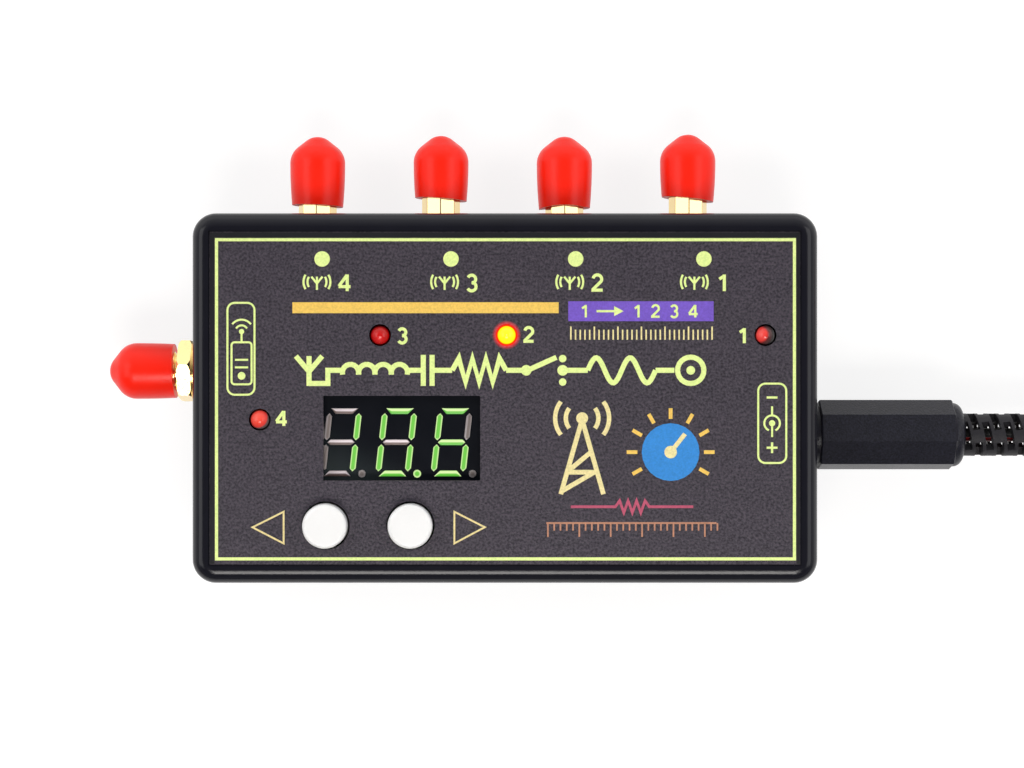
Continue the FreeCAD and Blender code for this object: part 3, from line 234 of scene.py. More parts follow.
def surface(
    name, colour, roughness, light=None, grain=0.0003, depth=0.02, drift=0.08, specular=0.5,
    metallic=0.0, speckle=0.3,
):
    """A finish with a soft cloudy drift of its gloss and colour, a share of drift to both sides of
    the colour or from it to a light one, a fine grain in its relief, and the same grain as a share
    of speckle in its colour. Returns the material."""
    finish = bpy.data.materials.new(name)
    finish.use_nodes = True
    tree = finish.node_tree
    dark = colour
    if light is None:
        dark = [channel * (1.0 - drift) for channel in colour]
        light = [min(1.0, channel * (1.0 + drift)) for channel in colour]
    place = add_node(tree, "TexCoord", {}, name="place").outputs["Object"]
    sizes = {"Vector": place, "Scale": 260.0, "Detail": 4.0}
    clouds = add_node(tree, "TexNoise", sizes).outputs["Fac"]
    sizes = {"Vector": place, "Scale": 1.0 / grain, "Detail": 2.0}
    pores = add_node(tree, "TexNoise", sizes).outputs["Fac"]
    blend = add_node(tree, "Mix", {"Factor": speckle, "A": clouds, "B": pores})
    share = ranged(tree, blend.outputs["Result"], 0.3, 0.7)
    tint = mixed(tree, share, (*dark, 1.0), (*light, 1.0), name="tint")
    gloss = ranged(tree, clouds, 0.0, 1.0, roughness * 0.85, min(1.0, roughness * 1.15))
    dents = {"Strength": depth, "Distance": grain, "Height": pores}
    relief = add_node(tree, "Bump", dents, name="relief")
    dress(finish, {"Base Color": tint, "Roughness": gloss, "Normal": relief.outputs["Normal"]})
    dress(finish, {"Metallic": metallic, "Specular IOR Level": specular})
    return finish


def wear(finish, *names):
    """Puts a finish on solids of the frame."""
    for name in names:
        for slot in nodes[name].material_slots:
            slot.material = finish


red_vinyl = surface("red_vinyl", (0.26, 0.004, 0.006), 0.4, grain=0.0004, drift=0.15)
vinyl_black = (0.01, 0.01, 0.011)
black_vinyl = surface("black_vinyl", vinyl_black, 0.5, grain=0.0004, drift=0.15, specular=0.2)
core_radius = 0.78 * mm
core_side = 0.72 * mm
arc = np.radians(np.linspace(-150.0, 150.0, 13))
near_core = np.column_stack([core_side + core_radius * np.cos(arc), core_radius * np.sin(arc)])
far_core = -near_core
lead_profile = np.vstack([near_core, far_core])
lead_line = spline_line("lead_line", lead_points, 3)
run = np.linalg.norm(np.diff(lead_line, axis=0, prepend=lead_line[:1]), axis=1).cumsum()
relief_twist = 62.0  # degrees that the lead is turned inside the strain relief
flat_run, easing_run = 44.0 * mm, 24.0 * mm  # it lies flat from here on, and eases before
lead_twist = relief_twist * np.clip((flat_run - run) / easing_run, 0.0, 1.0)
lead_mesh_points, lead_faces = along(lead_line, lead_profile, lead_twist)
on_red = np.array([face[0] % len(lead_profile) < len(near_core) for face in lead_faces])
lead = piece(
    "twin_lead",
    lead_mesh_points,
    lead_faces,
    [red_vinyl, black_vinyl],
    "dc_plug",
    np.where(on_red, 0, 1),
)
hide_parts("dc_lead", "dc_lead_coil")


def arc_points(x, y, radius, start, end, count=16):
    """Points round a circle from one angle to another, in degrees."""
    turn = np.radians(np.linspace(start, end, count))
    return np.column_stack([x + radius * np.cos(turn), y + radius * np.sin(turn)])


def rounded_box(x_low, x_high, y_low, y_high, radius, count=7):
    """The outline of a box whose corners are quarter circles of so many points."""
    corners = [
        (x_high - radius, y_low + radius, -90.0),
        (x_high - radius, y_high - radius, 0.0),
        (x_low + radius, y_high - radius, 90.0),
        (x_low + radius, y_low + radius, 180.0),
    ]
    bends = [arc_points(x, y, radius, start, start + 90.0, count) for x, y, start in corners]
    return np.vstack(bends)


# the twist tie round the bundle: a wire between two thin vinyl flanges, its two ends twisted
tie_in, tie_out, tie_low, tie_top = 10.2, 20.0, 0.4, 6.5
tie_bend = 0.8
tie_half_width = 1.3
flange_half, wire_shoulder, wire_top = 0.06, 0.3, 0.38
tie_loop = rounded_box(tie_in, tie_out, tie_low, tie_top, tie_bend, 6)
tie_ahead = np.roll(tie_loop, -1, axis=0) - np.roll(tie_loop, 1, axis=0)
tie_out_way = np.column_stack([tie_ahead[:, 1], -tie_ahead[:, 0]])
tie_out_way /= np.linalg.norm(tie_out_way, axis=1, keepdims=True)
tie_across = np.array([-1.0, -0.35, -0.2, 0.0, 0.2, 0.35, 1.0]) * tie_half_width
tie_rise = np.full(7, flange_half)
tie_rise[2:5] = (wire_shoulder, wire_top, wire_shoulder)
tie_upper = np.column_stack([tie_across, tie_rise])
tie_under = np.column_stack([tie_across[::-1], np.full(7, -flange_half)])
tie_section = np.vstack([tie_upper, tie_under])
tie_reach = tie_loop[:, None] + tie_section[None, :, 1:] * tie_out_way[:, None]
tie_reach = np.vstack([tie_reach, tie_reach[:1]])
tie_x, tie_y = coil_middle[0] - tie_reach[..., 0], coil_middle[1] + tie_section[:, 0]
tie_band = spread(tie_x, tie_y, tie_reach[..., 1])
tie_shapes = [(tie_band.reshape(-1, 3), grid_faces(*tie_band.shape[:2])[:, ::-1])]
tail_root, tail_height = 0.4, 3.4
tail_run, tail_rise = 0.45, 0.15  # outwards and upwards for each radian of its twist
tail_swing, tail_radius = 0.62, 0.42
tail_turn = np.linspace(0.0, 5 * np.pi, 50)
ring = np.radians(np.arange(0.0, 360.0, 45.0))
tail_profile = tail_radius * np.column_stack([np.cos(ring), np.sin(ring)])
for start in (0.0, np.pi):
    tail_x = coil_middle[0] - tie_out - tail_root - tail_run * tail_turn
    tail_y = coil_middle[1] + tail_swing * np.cos(tail_turn + start)
    tail_z = tail_height + tail_rise * tail_turn + tail_swing * np.sin(tail_turn + start)
    tie_shapes.append(along(np.column_stack([tail_x, tail_y, tail_z]), tail_profile))
tie_points, tie_faces = join(tie_shapes)
tie = piece("coil_tie", tie_points * mm, tie_faces, [black_vinyl], "dc_plug")

# Table
# A plain, matt, pale board that the switch stands on. It takes the switch's shadow, and is white to
# the eye and in reflections.

table_side = 20.0
table_rows = 7
table_height = -0.00005
table_glow = 0.8


def worked(tree, operation, *values):
    """The result of a sum on values and on other nodes' outputs, in their order."""
    return add_node(tree, "Math", dict(enumerate(values)), operation=operation).outputs[0]


table_step = np.linspace(-table_side / 2, table_side / 2, table_rows)
table_points = spread(table_step, table_step[:, None], table_height).reshape(-1, 3)
table_faces = grid_faces(table_rows, table_rows, closed=False)
table_mesh = bpy.data.meshes.new("table")
table_mesh.from_pydata(table_points.tolist(), [], table_faces.tolist())
table = bpy.data.objects.new("table", table_mesh)
bpy.context.scene.collection.objects.link(table)
table_finish = bpy.data.materials.new("table_top")
table_finish.use_nodes = True
tree = table_finish.node_tree
path = add_node(tree, "LightPath", {}).outputs
seen = worked(tree, "MAXIMUM", path["Is Camera Ray"], path["Is Glossy Ray"])
seen = worked(tree, "MAXIMUM", seen, path["Is Transmission Ray"])
dress(
    table_finish,
    {
        "Base Color": (0.28, 0.275, 0.275, 1.0),
        "Roughness": 0.9,
        "Specular IOR Level": 0.1,
        "Emission Color": (1.0, 1.0, 1.0, 1.0),
        "Emission Strength": worked(tree, "MULTIPLY", seen, table_glow),
    },
)
table_mesh.materials.append(table_finish)

# Light
# A pale studio, brighter round the horizon than overhead and behind the switch than in front of
# it, a soft lamp in front and one to each side.


def ramped(tree, value, stops):
    """A colour read at a value, through stops of a place and a colour or a lightness."""
    made = add_node(tree, "ValToRGB", {"Fac": value})
    elements = made.color_ramp.elements
    for position, _ in stops[1:-1]:
        elements.new(position)
    for element, (position, colour) in zip(elements, stops):
        element.position = position
        element.color = (*np.broadcast_to(colour, 3), 1.0)
    return made.outputs["Color"]


world = bpy.data.worlds.new("studio")
bpy.context.scene.world = world
world.use_nodes = True
tree = world.node_tree
direction = add_node(tree, "TexCoord", {}).outputs["Generated"]
axes = add_node(tree, "SeparateXYZ", {"Vector": direction}).outputs
sky_levels = ((0.0, 1.0), (0.3, 0.75), (0.6, 0.3), (0.85, 0.08), (1.0, 0.05))
by_height = ramped(tree, axes["Z"], sky_levels)
from_front = ranged(tree, axes["Y"], -0.5, 0.1, 0.25, 1.0)
behind = ranged(tree, axes["Y"], 0.05, 0.6, 0.0, 0.5)
level = worked(tree, "MULTIPLY_ADD", by_height, from_front, behind)
feed(tree, tree.nodes["Background"], {"Color": (1.0, 1.0, 1.0, 1.0), "Strength": level})


def lamp(name, place, aim, size, power, colour=(1.0, 1.0, 1.0)):
    """A soft rectangular lamp at a place, turned to its aim."""
    data = bpy.data.lights.new(name, "AREA")
    data.shape = "RECTANGLE"
    data.size, data.size_y = size
    data.energy = power
    data.color = colour
    made = bpy.data.objects.new(name, data)
    made.location = place
    ahead = Vector(aim) - Vector(place)
    made.rotation_euler = ahead.to_track_quat("-Z", "Y").to_euler()
    bpy.context.scene.collection.objects.link(made)


lamp("front_lamp", (0.0, -0.30, 0.55), (0.0, 0.0, 0.02), (0.34, 0.2), 2.0, (1.0, 0.97, 0.93))
for name, x in (("left_lamp", -0.43), ("right_lamp", 0.43)):
    lamp(name, (x, 0.03, 0.44), (0.0, 0.02, 0.02), (0.5, 0.3), 0.8)

# Case
# Two shells of black ABS, moulded with polished faces: the lid with a recess for the label, and
# the base. Four screws from below hold them.

case_plastic = surface("case_plastic", (0.009, 0.009, 0.014), 0.16, specular=0.32)
wear(case_plastic, "lid", "base")


def metal(name, colour, roughness, grain=0.0002, **look):
    """A metal's finish, its grain finer than a plastic's."""
    return surface(name, colour, roughness, grain=grain, metallic=1.0, **look)


zinc = metal("zinc_plate", (0.62, 0.62, 0.6), 0.35)
wear(zinc, "case_screws", "board_screws")

# Face label
# Printed polyester film with a fine leathery grain, dark charcoal, glued in the lid's recess. The
# lit lamp throws a red glow on the film round it.

label_top = 24.75
lit_lamp = (0.27, 10.05)
glow_start, glow_end = 1.6, 2.45  # from the lit lamp's axis


def away_from(tree, point, upright=1.0):
    """The distance from a point in millimetres, or where upright is 0 from the upright line
    through it: the length of the step from the point, its height times upright."""
    x, y, z = (-distance * mm for distance in point)
    place = tree.nodes["place"].outputs["Object"]
    sockets = {"Vector": place, "Location": (x, y, z * upright), "Scale": (1.0, 1.0, upright)}
    step = add_node(tree, "Mapping", sockets)
    away = add_node(tree, "VectorMath", {0: step.outputs["Vector"]}, operation="LENGTH")
    return away.outputs["Value"]


def label_film():
    """Charcoal film: its grain darkens its colour and small cells dent its relief, a slow drift of
    tint runs across it, and a glow falls off with the distance from the lit lamp."""
    finish = surface(
        "label_film",
        (0.004, 0.0035, 0.01),
        0.46,
        light=(0.07, 0.055, 0.076),
        grain=0.0004,
        depth=0.3,
        specular=0.4,
        speckle=0.9,
    )
    tree = finish.node_tree
    place = tree.nodes["place"].outputs["Object"]
    sizes = {"Vector": place, "Scale": 2900.0}
    cells = add_node(tree, "TexVoronoi", sizes, feature="DISTANCE_TO_EDGE")
    dents = {"Height": cells.outputs["Distance"], "Strength": 0.6, "Distance": 0.07 * mm}
    dents["Normal"] = tree.nodes["relief"].outputs["Normal"]
    skin = add_node(tree, "Bump", dents)
    away = away_from(tree, (*lit_lamp, label_top))
    glow = ranged(tree, away, glow_start * mm, glow_end * mm, 0.7, 0.0, way="SMOOTHERSTEP")
    red = {"Emission Color": (1.0, 0.015, 0.02, 1.0), "Emission Strength": glow}
    dress(finish, {"Normal": skin.outputs["Normal"], **red})
    return finish


wear(label_film(), "face_label")

# Face print
# Screen-printed inks on the film: a frame, the ports' and lamps' numbers, marks for the radio and
# power ends, a bar, a box and a drawing, all a few hundredths of a millimetre thick.

ink_low = 24.74
ink_high = 24.775
second_ink = 0.02  # how far a colour is raised that lies on another
hair = 0.002


def stroke(points, width, closed=False):
    """A printed line: at each point the outline steps half the width to both sides along the mean
    of the two neighbouring normals, lengthened by 1 / cos(half the turn) so corners are mitred. It
    is closed into a thin slab. Returns points and faces."""
    path = np.asarray(points, float)
    path = path[np.append(True, np.linalg.norm(np.diff(path, axis=0), axis=1) > 1e-6)]
    steps = np.diff(np.vstack([path, path[:1]]) if closed else path, axis=0)
    steps /= np.linalg.norm(steps, axis=1, keepdims=True)
    if closed:
        before, after = np.roll(steps, 1, axis=0), steps
    else:
        before, after = np.vstack([steps[:1], steps]), np.vstack([steps, steps[-1:]])
    both = before + after
    normal = np.stack([-both[:, 1], both[:, 0]], -1)
    normal /= np.linalg.norm(normal, axis=1, keepdims=True)
    cosine = np.abs(normal[:, 0] * -after[:, 1] + normal[:, 1] * after[:, 0]).clip(0.35)
    offset = normal * (width / 2 / cosine)[:, None]
    left, right = path + offset, path - offset
    low, high = np.full((len(path), 1), ink_low), np.full((len(path), 1), ink_high)
    corners = ((right, low), (right, high), (left, high), (left, low))
    rings = np.stack([np.hstack(corner) for corner in corners], 1)
    if closed:
        faces = grid_faces(len(path) + 1, 4) % (4 * len(path))
        return rings.reshape(-1, 3), faces.tolist()
    return rings.reshape(-1, 3), tube_faces(len(path), 4)


def patch(outline):
    """A printed area inside a convex outline given counter-clockwise: a slab with that outline."""
    edge = np.asarray(outline, float)
    count = len(edge)
    low, high = np.full((count, 1), ink_low), np.full((count, 1), ink_high)
    points = np.vstack([np.hstack([edge, low]), np.hstack([edge, high])])
    side = np.arange(count)
    after = (side + 1) % count
    walls = np.stack([side, after, after + count, side + count], -1).tolist()
    return points, [list(range(count))[::-1], list(range(count, 2 * count))] + walls


def disc(x, y, radius):
    """A printed disc, its outline a circle of 24 points."""
    return patch(arc_points(x, y, radius, 0.0, 345.0, 24))


def box(x_low, x_high, y_low, y_high):
    """A printed box between its four sides."""
    return patch([(x_low, y_low), (x_high, y_low), (x_high, y_high), (x_low, y_high)])


def numeral(figure, x, y, height, width):
    """A plain numeral 1 to 4 of single strokes, its middle at x, y."""
    marks = {
        1: [[(0.2, 0.72), (0.52, 0.93)], [(0.5, 1.0), (0.5, 0.0)]],
        2: [
            np.vstack([arc_points(0.36, 0.72, 0.26, 170.0, -30.0, 12), [(0.06, 0.07)]]),
            [(0.0, 0.06), (0.68, 0.06)],
        ],
        3: [
            arc_points(0.33, 0.72, 0.24, 155.0, -90.0, 12),
            arc_points(0.33, 0.27, 0.26, 90.0, -155.0, 12),
        ],
        4: [[(0.52, 0.0), (0.52, 1.0)], [(0.5, 0.96), (0.02, 0.3)], [(0.0, 0.27), (0.72, 0.27)]],
    }[figure]
    middle = (0.36, 0.5)
    return [stroke((np.asarray(mark) - middle) * height + (x, y), width) for mark in marks]


def ink(name, colour):
    """An ink's finish: matt, with the film's grain showing through it."""
    return surface(name, colour, 0.42, depth=0.1, drift=0.14, specular=0.3, speckle=0.8)


def press(name, finish, shapes, raised=0.0):
    """One colour of the print: all its shapes in one mesh on the label, raised where it lies on
    another colour. The tops of shapes that may overlap are stepped by a hair's breadth."""
    lifted = []
    for turn, (points, faces) in enumerate(shapes):
        lift = raised + hair * (turn % 13) * (points[:, 2:] > ink_low)
        lifted.append((points + lift * [0.0, 0.0, 1.0], faces))
    points, faces = join(lifted)
    return piece(name, points * mm, faces, [finish], "case", smooth=False)


def aerial(x, y, height):
    """An aerial's mark: a mast, its two slanted arms, and two short arcs at each side."""
    half = height / 2
    marks = [
        [(x, y - half), (x, y + half)],
        [(x - 0.42 * height, y + half), (x, y - 0.02 * height), (x + 0.42 * height, y + half)],
    ]
    for reach in (0.72, 1.02):
        for start in (-32.0, 148.0):
            end = start + 64.0
            marks.append(arc_points(x, y + 0.1 * height, reach * height, start, end, 8))
    return marks


green_ink = ink("pale_green_ink", (0.78, 0.97, 0.33))
orange_ink = ink("orange_ink", (0.9, 0.58, 0.12))
purple_ink = ink("purple_ink", (0.185, 0.1, 0.56))
cream_ink = ink("cream_ink", (0.85, 0.74, 0.36))
tan_ink = ink("tan_ink", (0.8, 0.67, 0.32))
blue_ink = ink("blue_ink", (0.035, 0.25, 0.66))
pink_ink = ink("pink_ink", (0.5, 0.09, 0.16))
salmon_ink = ink("salmon_ink", (0.5, 0.24, 0.15))
# a matt black used only for the painted shade along the label's margins
painted_shade_black = ink("painted_shade_black", (0.008, 0.008, 0.011))

frame_width = 0.5
figure_width, figure_height = 0.5, 2.4
port_width, port_height = 0.34, 2.65
dot_y, port_y = 22.17, 18.3
frame_line = [(-45.94, -25.61), (46.12, -25.61), (46.12, 25.24), (-45.94, 25.24)]
green = [stroke(frame_line, frame_width, closed=True)]
for figure, x, dot_x in (
    (1, 31.28, 31.70),
    (2, 11.43, 11.27),
    (3, -8.51, -8.59),
    (4, -28.84, -29.12),
):
    green.append(disc(dot_x, dot_y, 1.24))
    green += [stroke(mark, port_width) for mark in aerial(x - 1.1, port_y, 2.1)]
    green += numeral(figure, x + 3.3, port_y + 0.07, port_height, figure_width)
for figure, x, y in ((1, 37.8, 9.95), (2, 3.8, 10.11), (3, -16.29, 9.95), (4, -35.6, -3.23)):
    green += numeral(figure, x, y, figure_height, figure_width)
press("green_print", green_ink, green)
# painted shade: black boxes along the left, right and top margins of the film stand for the shade
# that falls there under the recess's rim, laid on as a matt black ink
margin_shades = [
    box(-47.0, -46.25, -26.4, 26.4),
    box(46.42, 47.0, -26.4, 26.4),
    box(-46.25, 46.42, 25.55, 26.4),
]
press("margin_painted_shade", painted_shade_black, margin_shades)

# the radio end's mark, a receiver under its waves, and the power end's, a centre-positive plug
end_width, sign_width = 0.32, 0.36
receiver_x, receiver_top, waves_y = -41.95, 8.9, 10.6
plug_x, ring_y, ring_radius = 42.56, -4.0, 1.25
receiver_print = [
    stroke(rounded_box(-44.20, -39.89, 0.54, 15.18, 1.15), end_width, closed=True),
    stroke(rounded_box(-43.55, -40.35, 2.2, receiver_top, 0.5), end_width, closed=True),
    stroke([(-43.0, 4.9), (-40.9, 4.9)], end_width),
    stroke([(-43.0, 6.1), (-40.9, 6.1)], end_width),
    stroke(arc_points(receiver_x, waves_y, 1.0, 30.0, 150.0, 8), end_width),
    stroke(arc_points(receiver_x, waves_y, 1.9, 38.0, 142.0, 10), end_width),
    disc(receiver_x, 3.55, 0.62),
    disc(receiver_x, waves_y, 0.42),
    stroke([(receiver_x, receiver_top), (receiver_x, 10.5)], end_width),
]
plug_print = [
    stroke(rounded_box(40.35, 44.82, -10.33, 2.31, 1.15), end_width, closed=True),
    disc(plug_x, ring_y, 0.5),
    stroke([(plug_x, ring_y), (plug_x, -6.2)], end_width),
    stroke(arc_points(plug_x, ring_y, ring_radius, -65.0, 245.0, 18), end_width),
    stroke([(plug_x, ring_y + ring_radius), (plug_x, -1.3)], end_width),
    stroke([(41.7, 0.1), (43.42, 0.1)], sign_width),
    stroke([(41.7, -7.9), (43.42, -7.9)], sign_width),
    stroke([(plug_x, -8.76), (plug_x, -7.04)], sign_width),
]
press("end_marks_print", green_ink, receiver_print + plug_print)

# the wide band across the middle: a filter drawn as one bold line
band_y = 4.43
bold = 0.82
coil = [arc_points(-24.6 + 2.6 * k, band_y - 0.35, 1.3, 195.0, -15.0, 12) for k in range(4)]
zigzag_x = np.linspace(-8.4, 0.2, 9)
zigzag = np.column_stack([zigzag_x, band_y + 1.9 * np.array([0, 1, -1, 1, -1, 1, -1, 1, 0])])
wave_x = np.linspace(13.2, 24.0, 40)
wave = np.column_stack([wave_x, band_y + 2.0 * np.sin((wave_x - 13.2) / 10.8 * 4 * np.pi)])
band = [
    [(-33.3, 6.7), (-31.2, band_y - 0.2), (-29.1, 6.7)],
    [(-31.2, 1.95), (-31.2, 6.7)],
    [(-31.2, band_y - 2.1), (-28.2, band_y - 2.1), (-28.2, band_y), (-25.9, band_y)],
    *coil,
    [(-15.5, band_y), (-13.3, band_y)],
    [(-13.0, 1.95), (-13.0, 6.9)],
    [(-11.6, 1.95), (-11.6, 6.9)],
    [(-11.3, band_y), (-8.4, band_y)],
    zigzag,
    [(0.2, band_y), (3.0, band_y)],
    [(3.6, band_y), (8.2, 6.5)],
    [(9.6, band_y), (13.2, band_y)],
    wave,
    [(24.0, band_y), (27.0, band_y)],
]
band_print = [stroke(mark, bold) for mark in band]
band_print += [disc(3.4, band_y, 0.85), disc(9.2, band_y, 0.85)]
band_print += [disc(9.2, 6.3, 0.6), disc(9.2, 2.56, 0.6)]
band_print.append(stroke(arc_points(29.6, band_y, 2.1, 0.0, 345.0, 24), bold, closed=True))
band_print.append(disc(29.6, band_y, 0.7))
press("band_print", green_ink, band_print)

press("bar_print", orange_ink, [box(-33.85, 8.57, 13.53, 15.28)])
press("box_print", purple_ink, [box(10.09, 33.25, 12.26, 15.43)])
box_y, box_figure, box_width = 13.85, 2.0, 0.36
scale_marks = numeral(1, 12.6, box_y, box_figure, box_width)
scale_marks.append(stroke([(14.6, box_y), (17.6, box_y)], box_width))
scale_marks.append(patch([(17.4, box_y - 0.8), (18.9, box_y), (17.4, box_y + 0.8)]))
for figure in (1, 2, 3, 4):
    scale_marks += numeral(figure, 18.0 + 3.0 * figure, box_y, box_figure, box_width)
press("box_marks_print", green_ink, scale_marks, second_ink)

arrow_width = 0.29
left_arrow = [(-40.20, -20.58), (-35.25, -18.10), (-35.25, -23.14)]
right_arrow = [(-8.05, -18.10), (-3.21, -20.56), (-8.05, -23.14)]
tan = [stroke(arrow, arrow_width, closed=True) for arrow in (left_arrow, right_arrow)]
press("arrow_print", tan_ink, tan)

# the drawing at the lower right: an aerial mast, a tuning dial with its pointer, and a line
# with a resistor's zigzag under them
mast_x, mast_foot, mast_top, aerial_y = 12.3, -15.3, -3.4, -3.2
mast_width, wave_width = 0.75, 0.7
mast = [
    [(mast_x - 3.4, mast_foot), (mast_x, mast_top)],
    [(mast_x + 3.4, mast_foot), (mast_x, mast_top)],
    [(mast_x - 2.4, -11.8), (mast_x + 2.4, -11.8)],
    [(mast_x - 3.2, -14.8), (mast_x + 2.3, -11.6)],
    [(mast_x - 2.2, -11.6), (mast_x + 1.4, -8.6)],
]
mast_print = [stroke(mark, mast_width) for mark in mast] + [disc(mast_x, aerial_y, 0.95)]
for reach in (2.6, 4.3):
    for start, end in ((-38.0, 38.0), (142.0, 218.0)):
        wave_line = arc_points(mast_x, aerial_y, reach, start, end, 10)
        mast_print.append(stroke(wave_line, wave_width))
press("mast_print", cream_ink, mast_print)
dial_x, dial_y = 26.4, -8.6
press("dial_print", blue_ink, [disc(dial_x, dial_y, 4.6)])
ticks = []
for turn in np.radians(np.arange(-30.0, 211.0, 30.0)):
    out = np.array([np.cos(turn), np.sin(turn)])
    tick = [(dial_x, dial_y) + reach * out for reach in (5.3, 7.0)]
    ticks.append(stroke(tick, 0.6))
press("dial_ticks_print", orange_ink, ticks)
needle = [stroke([(dial_x, dial_y), (dial_x + 2.3, dial_y + 2.9)], 0.7)]
needle.append(disc(dial_x, dial_y, 1.0))
press("dial_pointer_print", cream_ink, needle, second_ink)
base_y = -17.3
zig_x = np.linspace(17.6, 23.0, 9)
zig = np.column_stack([zig_x, base_y + 0.95 * np.array([0, 1, -1, 1, -1, 1, -1, 1, 0])])
base_line = np.vstack([[(10.5, base_y)], zig, [(30.0, base_y)]])
press("line_print", pink_ink, [stroke(base_line, 0.42)])
rule_y = -19.9
rule = [stroke([(6.6, rule_y), (33.7, rule_y)], 0.3)]
for k in range(28):
    length = 2.2 if k % 5 == 0 else 1.2
    rule.append(stroke([(6.85 + k, rule_y), (6.85 + k, rule_y - length)], 0.26))
press("rule_print", salmon_ink, rule)
fine_ticks = []
for k in range(31):
    x = 10.5 + 0.75 * k
    fine_ticks.append(stroke([(x, 9.3), (x, 10.9 if k % 5 else 11.4)], 0.24))
press("tick_print", cream_ink, fine_ticks)

# Display
# A three-digit LED display: a moulded housing whose pockets hold a cast diffuser for each bar and
# point. The bars that shine are cast in clear resin, seen green in the middle and pale at the rim.

digit_places = [(-17.43 + step * 8.87, -7.10) for step in (-1, 0, 1)]
digit_half_width, digit_half_height = 2.35, 4.99
digit_lean = np.tan(np.radians(6.45))
bar_half = 0.475
bar_low, bar_high = 21.82, 22.3
bar_edge = bar_high - 0.05
bar_crown = 0.09
crown_fall = 0.125  # the crown falls to nothing over this share of half the bar's length
level_bar_gap, upright_bar_gap = 0.16, 0.65
end_bar_draw = 0.84  # how far the inner side of an end bar is drawn in at both tips
point_x, point_y, point_radius = 3.35, -5.04, 0.63
lit_bars = ("bc", "abcdef.", "acdefg")


def bar_bounds(along_bar, length, inner_length, pointed):
    """How far a bar reaches to both sides at places along it. A pointed bar narrows evenly to its
    two tips; an end bar keeps its outer side straight and draws in only its inner side."""
    slope = length - inner_length
    if pointed:
        half = np.clip((length - np.abs(along_bar)) / slope, 0.0, 1.0) * bar_half
        return -half, half
    drawn_in = np.clip((np.abs(along_bar) - inner_length) / slope, 0.0, 1.0)
    return -bar_half + 2 * bar_half * drawn_in, np.full_like(along_bar, bar_half)


def cast_bar(digit, segment):
    """One diffuser: places along the bar by places across it. Its height is the square root of
    1 - across squared, so it is crowned, and a skirt runs down to its floor. Returns points, faces
    and the place of each point along and across the bar."""
    x0, y0 = digit_places[digit]
    pitch = np.linspace(-1.0, 1.0, 25)
    across = np.array([-1.0, -1.0, -0.92, -0.7, -0.4, 0.0, 0.4, 0.7, 0.92, 1.0, 1.0])
    skirt = np.array([1, 0, 0, 0, 0, 0, 0, 0, 0, 0, 1])
    is_level = segment in "adg"
    rise = (digit_half_height - upright_bar_gap) / 2
    length = digit_half_width - level_bar_gap if is_level else rise
    inner_length = length - (end_bar_draw if segment in "ad" else bar_half)
    along_bar = pitch * length
    low, high = bar_bounds(along_bar, length, inner_length, segment not in "ad")
    offset = (low + high)[:, None] / 2 + (high - low)[:, None] / 2 * across[None]
    run = along_bar[:, None]
    sign = -1.0 if segment == "d" else 1.0
    if is_level:
        middle = {"a": digit_half_height, "d": -digit_half_height, "g": 0.0}[segment]
        x, y = run, middle + sign * offset
    else:
        x = offset + (digit_half_width if segment in "bc" else -digit_half_width)
        y = run + (digit_half_height / 2 if segment in "bf" else -digit_half_height / 2)
    end = np.minimum(1.0, (1.0 - np.abs(pitch)) / crown_fall)[:, None]
    crown = bar_crown * np.sqrt(1.0 - across**2)[None] * np.sqrt(end)
    z = bar_edge + crown - skirt[None] * (bar_edge - bar_low)
    points = spread(x0 + x + y * digit_lean, y0 + y, z)
    faces = grid_faces(*offset.shape, closed=False)
    if segment not in "ag":
        faces = faces[:, ::-1]
    place = spread((pitch[:, None] + 1) / 2, (sign * across[None] + 1) / 2)
    return points.reshape(-1, 3), faces, place.reshape(-1, 2)


def cast_point(digit):
    """A decimal point: a crowned disc of rings by places round it, with its skirt."""
    x0, y0 = digit_places[digit]
    turn = np.radians(np.arange(0.0, 360.0, 15.0))
    share = np.array([1.0, 1.0, 0.9, 0.7, 0.4, 0.02])[:, None]
    crown = [bar_high + rise for rise in (0.0, 0.02, 0.04, 0.05)]
    height = np.array([bar_low, bar_edge, *crown])
    x = x0 + point_x + point_radius * share * np.cos(turn)[None]
    y = y0 + point_y + point_radius * share * np.sin(turn)[None]
    place = np.broadcast_to(spread(0.5, 0.5 + share / 2), (*x.shape, 2))
    points = spread(x, y, height[:, None])
    return points.reshape(-1, 3), grid_faces(*x.shape), place.reshape(-1, 2)


def cast_bars(name, finishes, wanted):
    """All diffusers that are wanted, lit or dark, as one piece with the map of each bar; the level
    bars take the first finish, the upright bars and the points the second."""
    points, faces, places, kinds, count = [], [], [], [], 0
    for digit in range(3):
        for segment in "abcdefg.":
            if (segment in lit_bars[digit]) != wanted:
                continue
            made = cast_point(digit) if segment == "." else cast_bar(digit, segment)
            points.append(made[0])
            faces.append(made[1] + count)
            places.append(made[2])
            kinds.append(np.full(len(made[1]), 0 if segment in "adg" else 1))
            count += len(made[0])
    faces = np.vstack(faces)
    bars = piece(name, np.vstack(points) * mm, faces, finishes, "case", np.concatenate(kinds))
    layer = bars.data.uv_layers.new(name="bar")
    layer.data.foreach_set("uv", np.vstack(places)[faces.ravel()].astype(np.float32).ravel())
    return bars


def colour_or_light(finish, colour, glow, dull):
    """Gives a resin its colour, or where it glows makes that the colour of its light, over a dull
    colour of its own."""
    tree = finish.node_tree
    if glow:
        tree.links.remove(tree.nodes["Principled BSDF"].inputs["Base Color"].links[0])
        light = {"Emission Color": colour, "Emission Strength": glow}
        dress(finish, {"Base Color": (*dull, 1.0), **light})
    else:
        dress(finish, {"Base Color": colour})


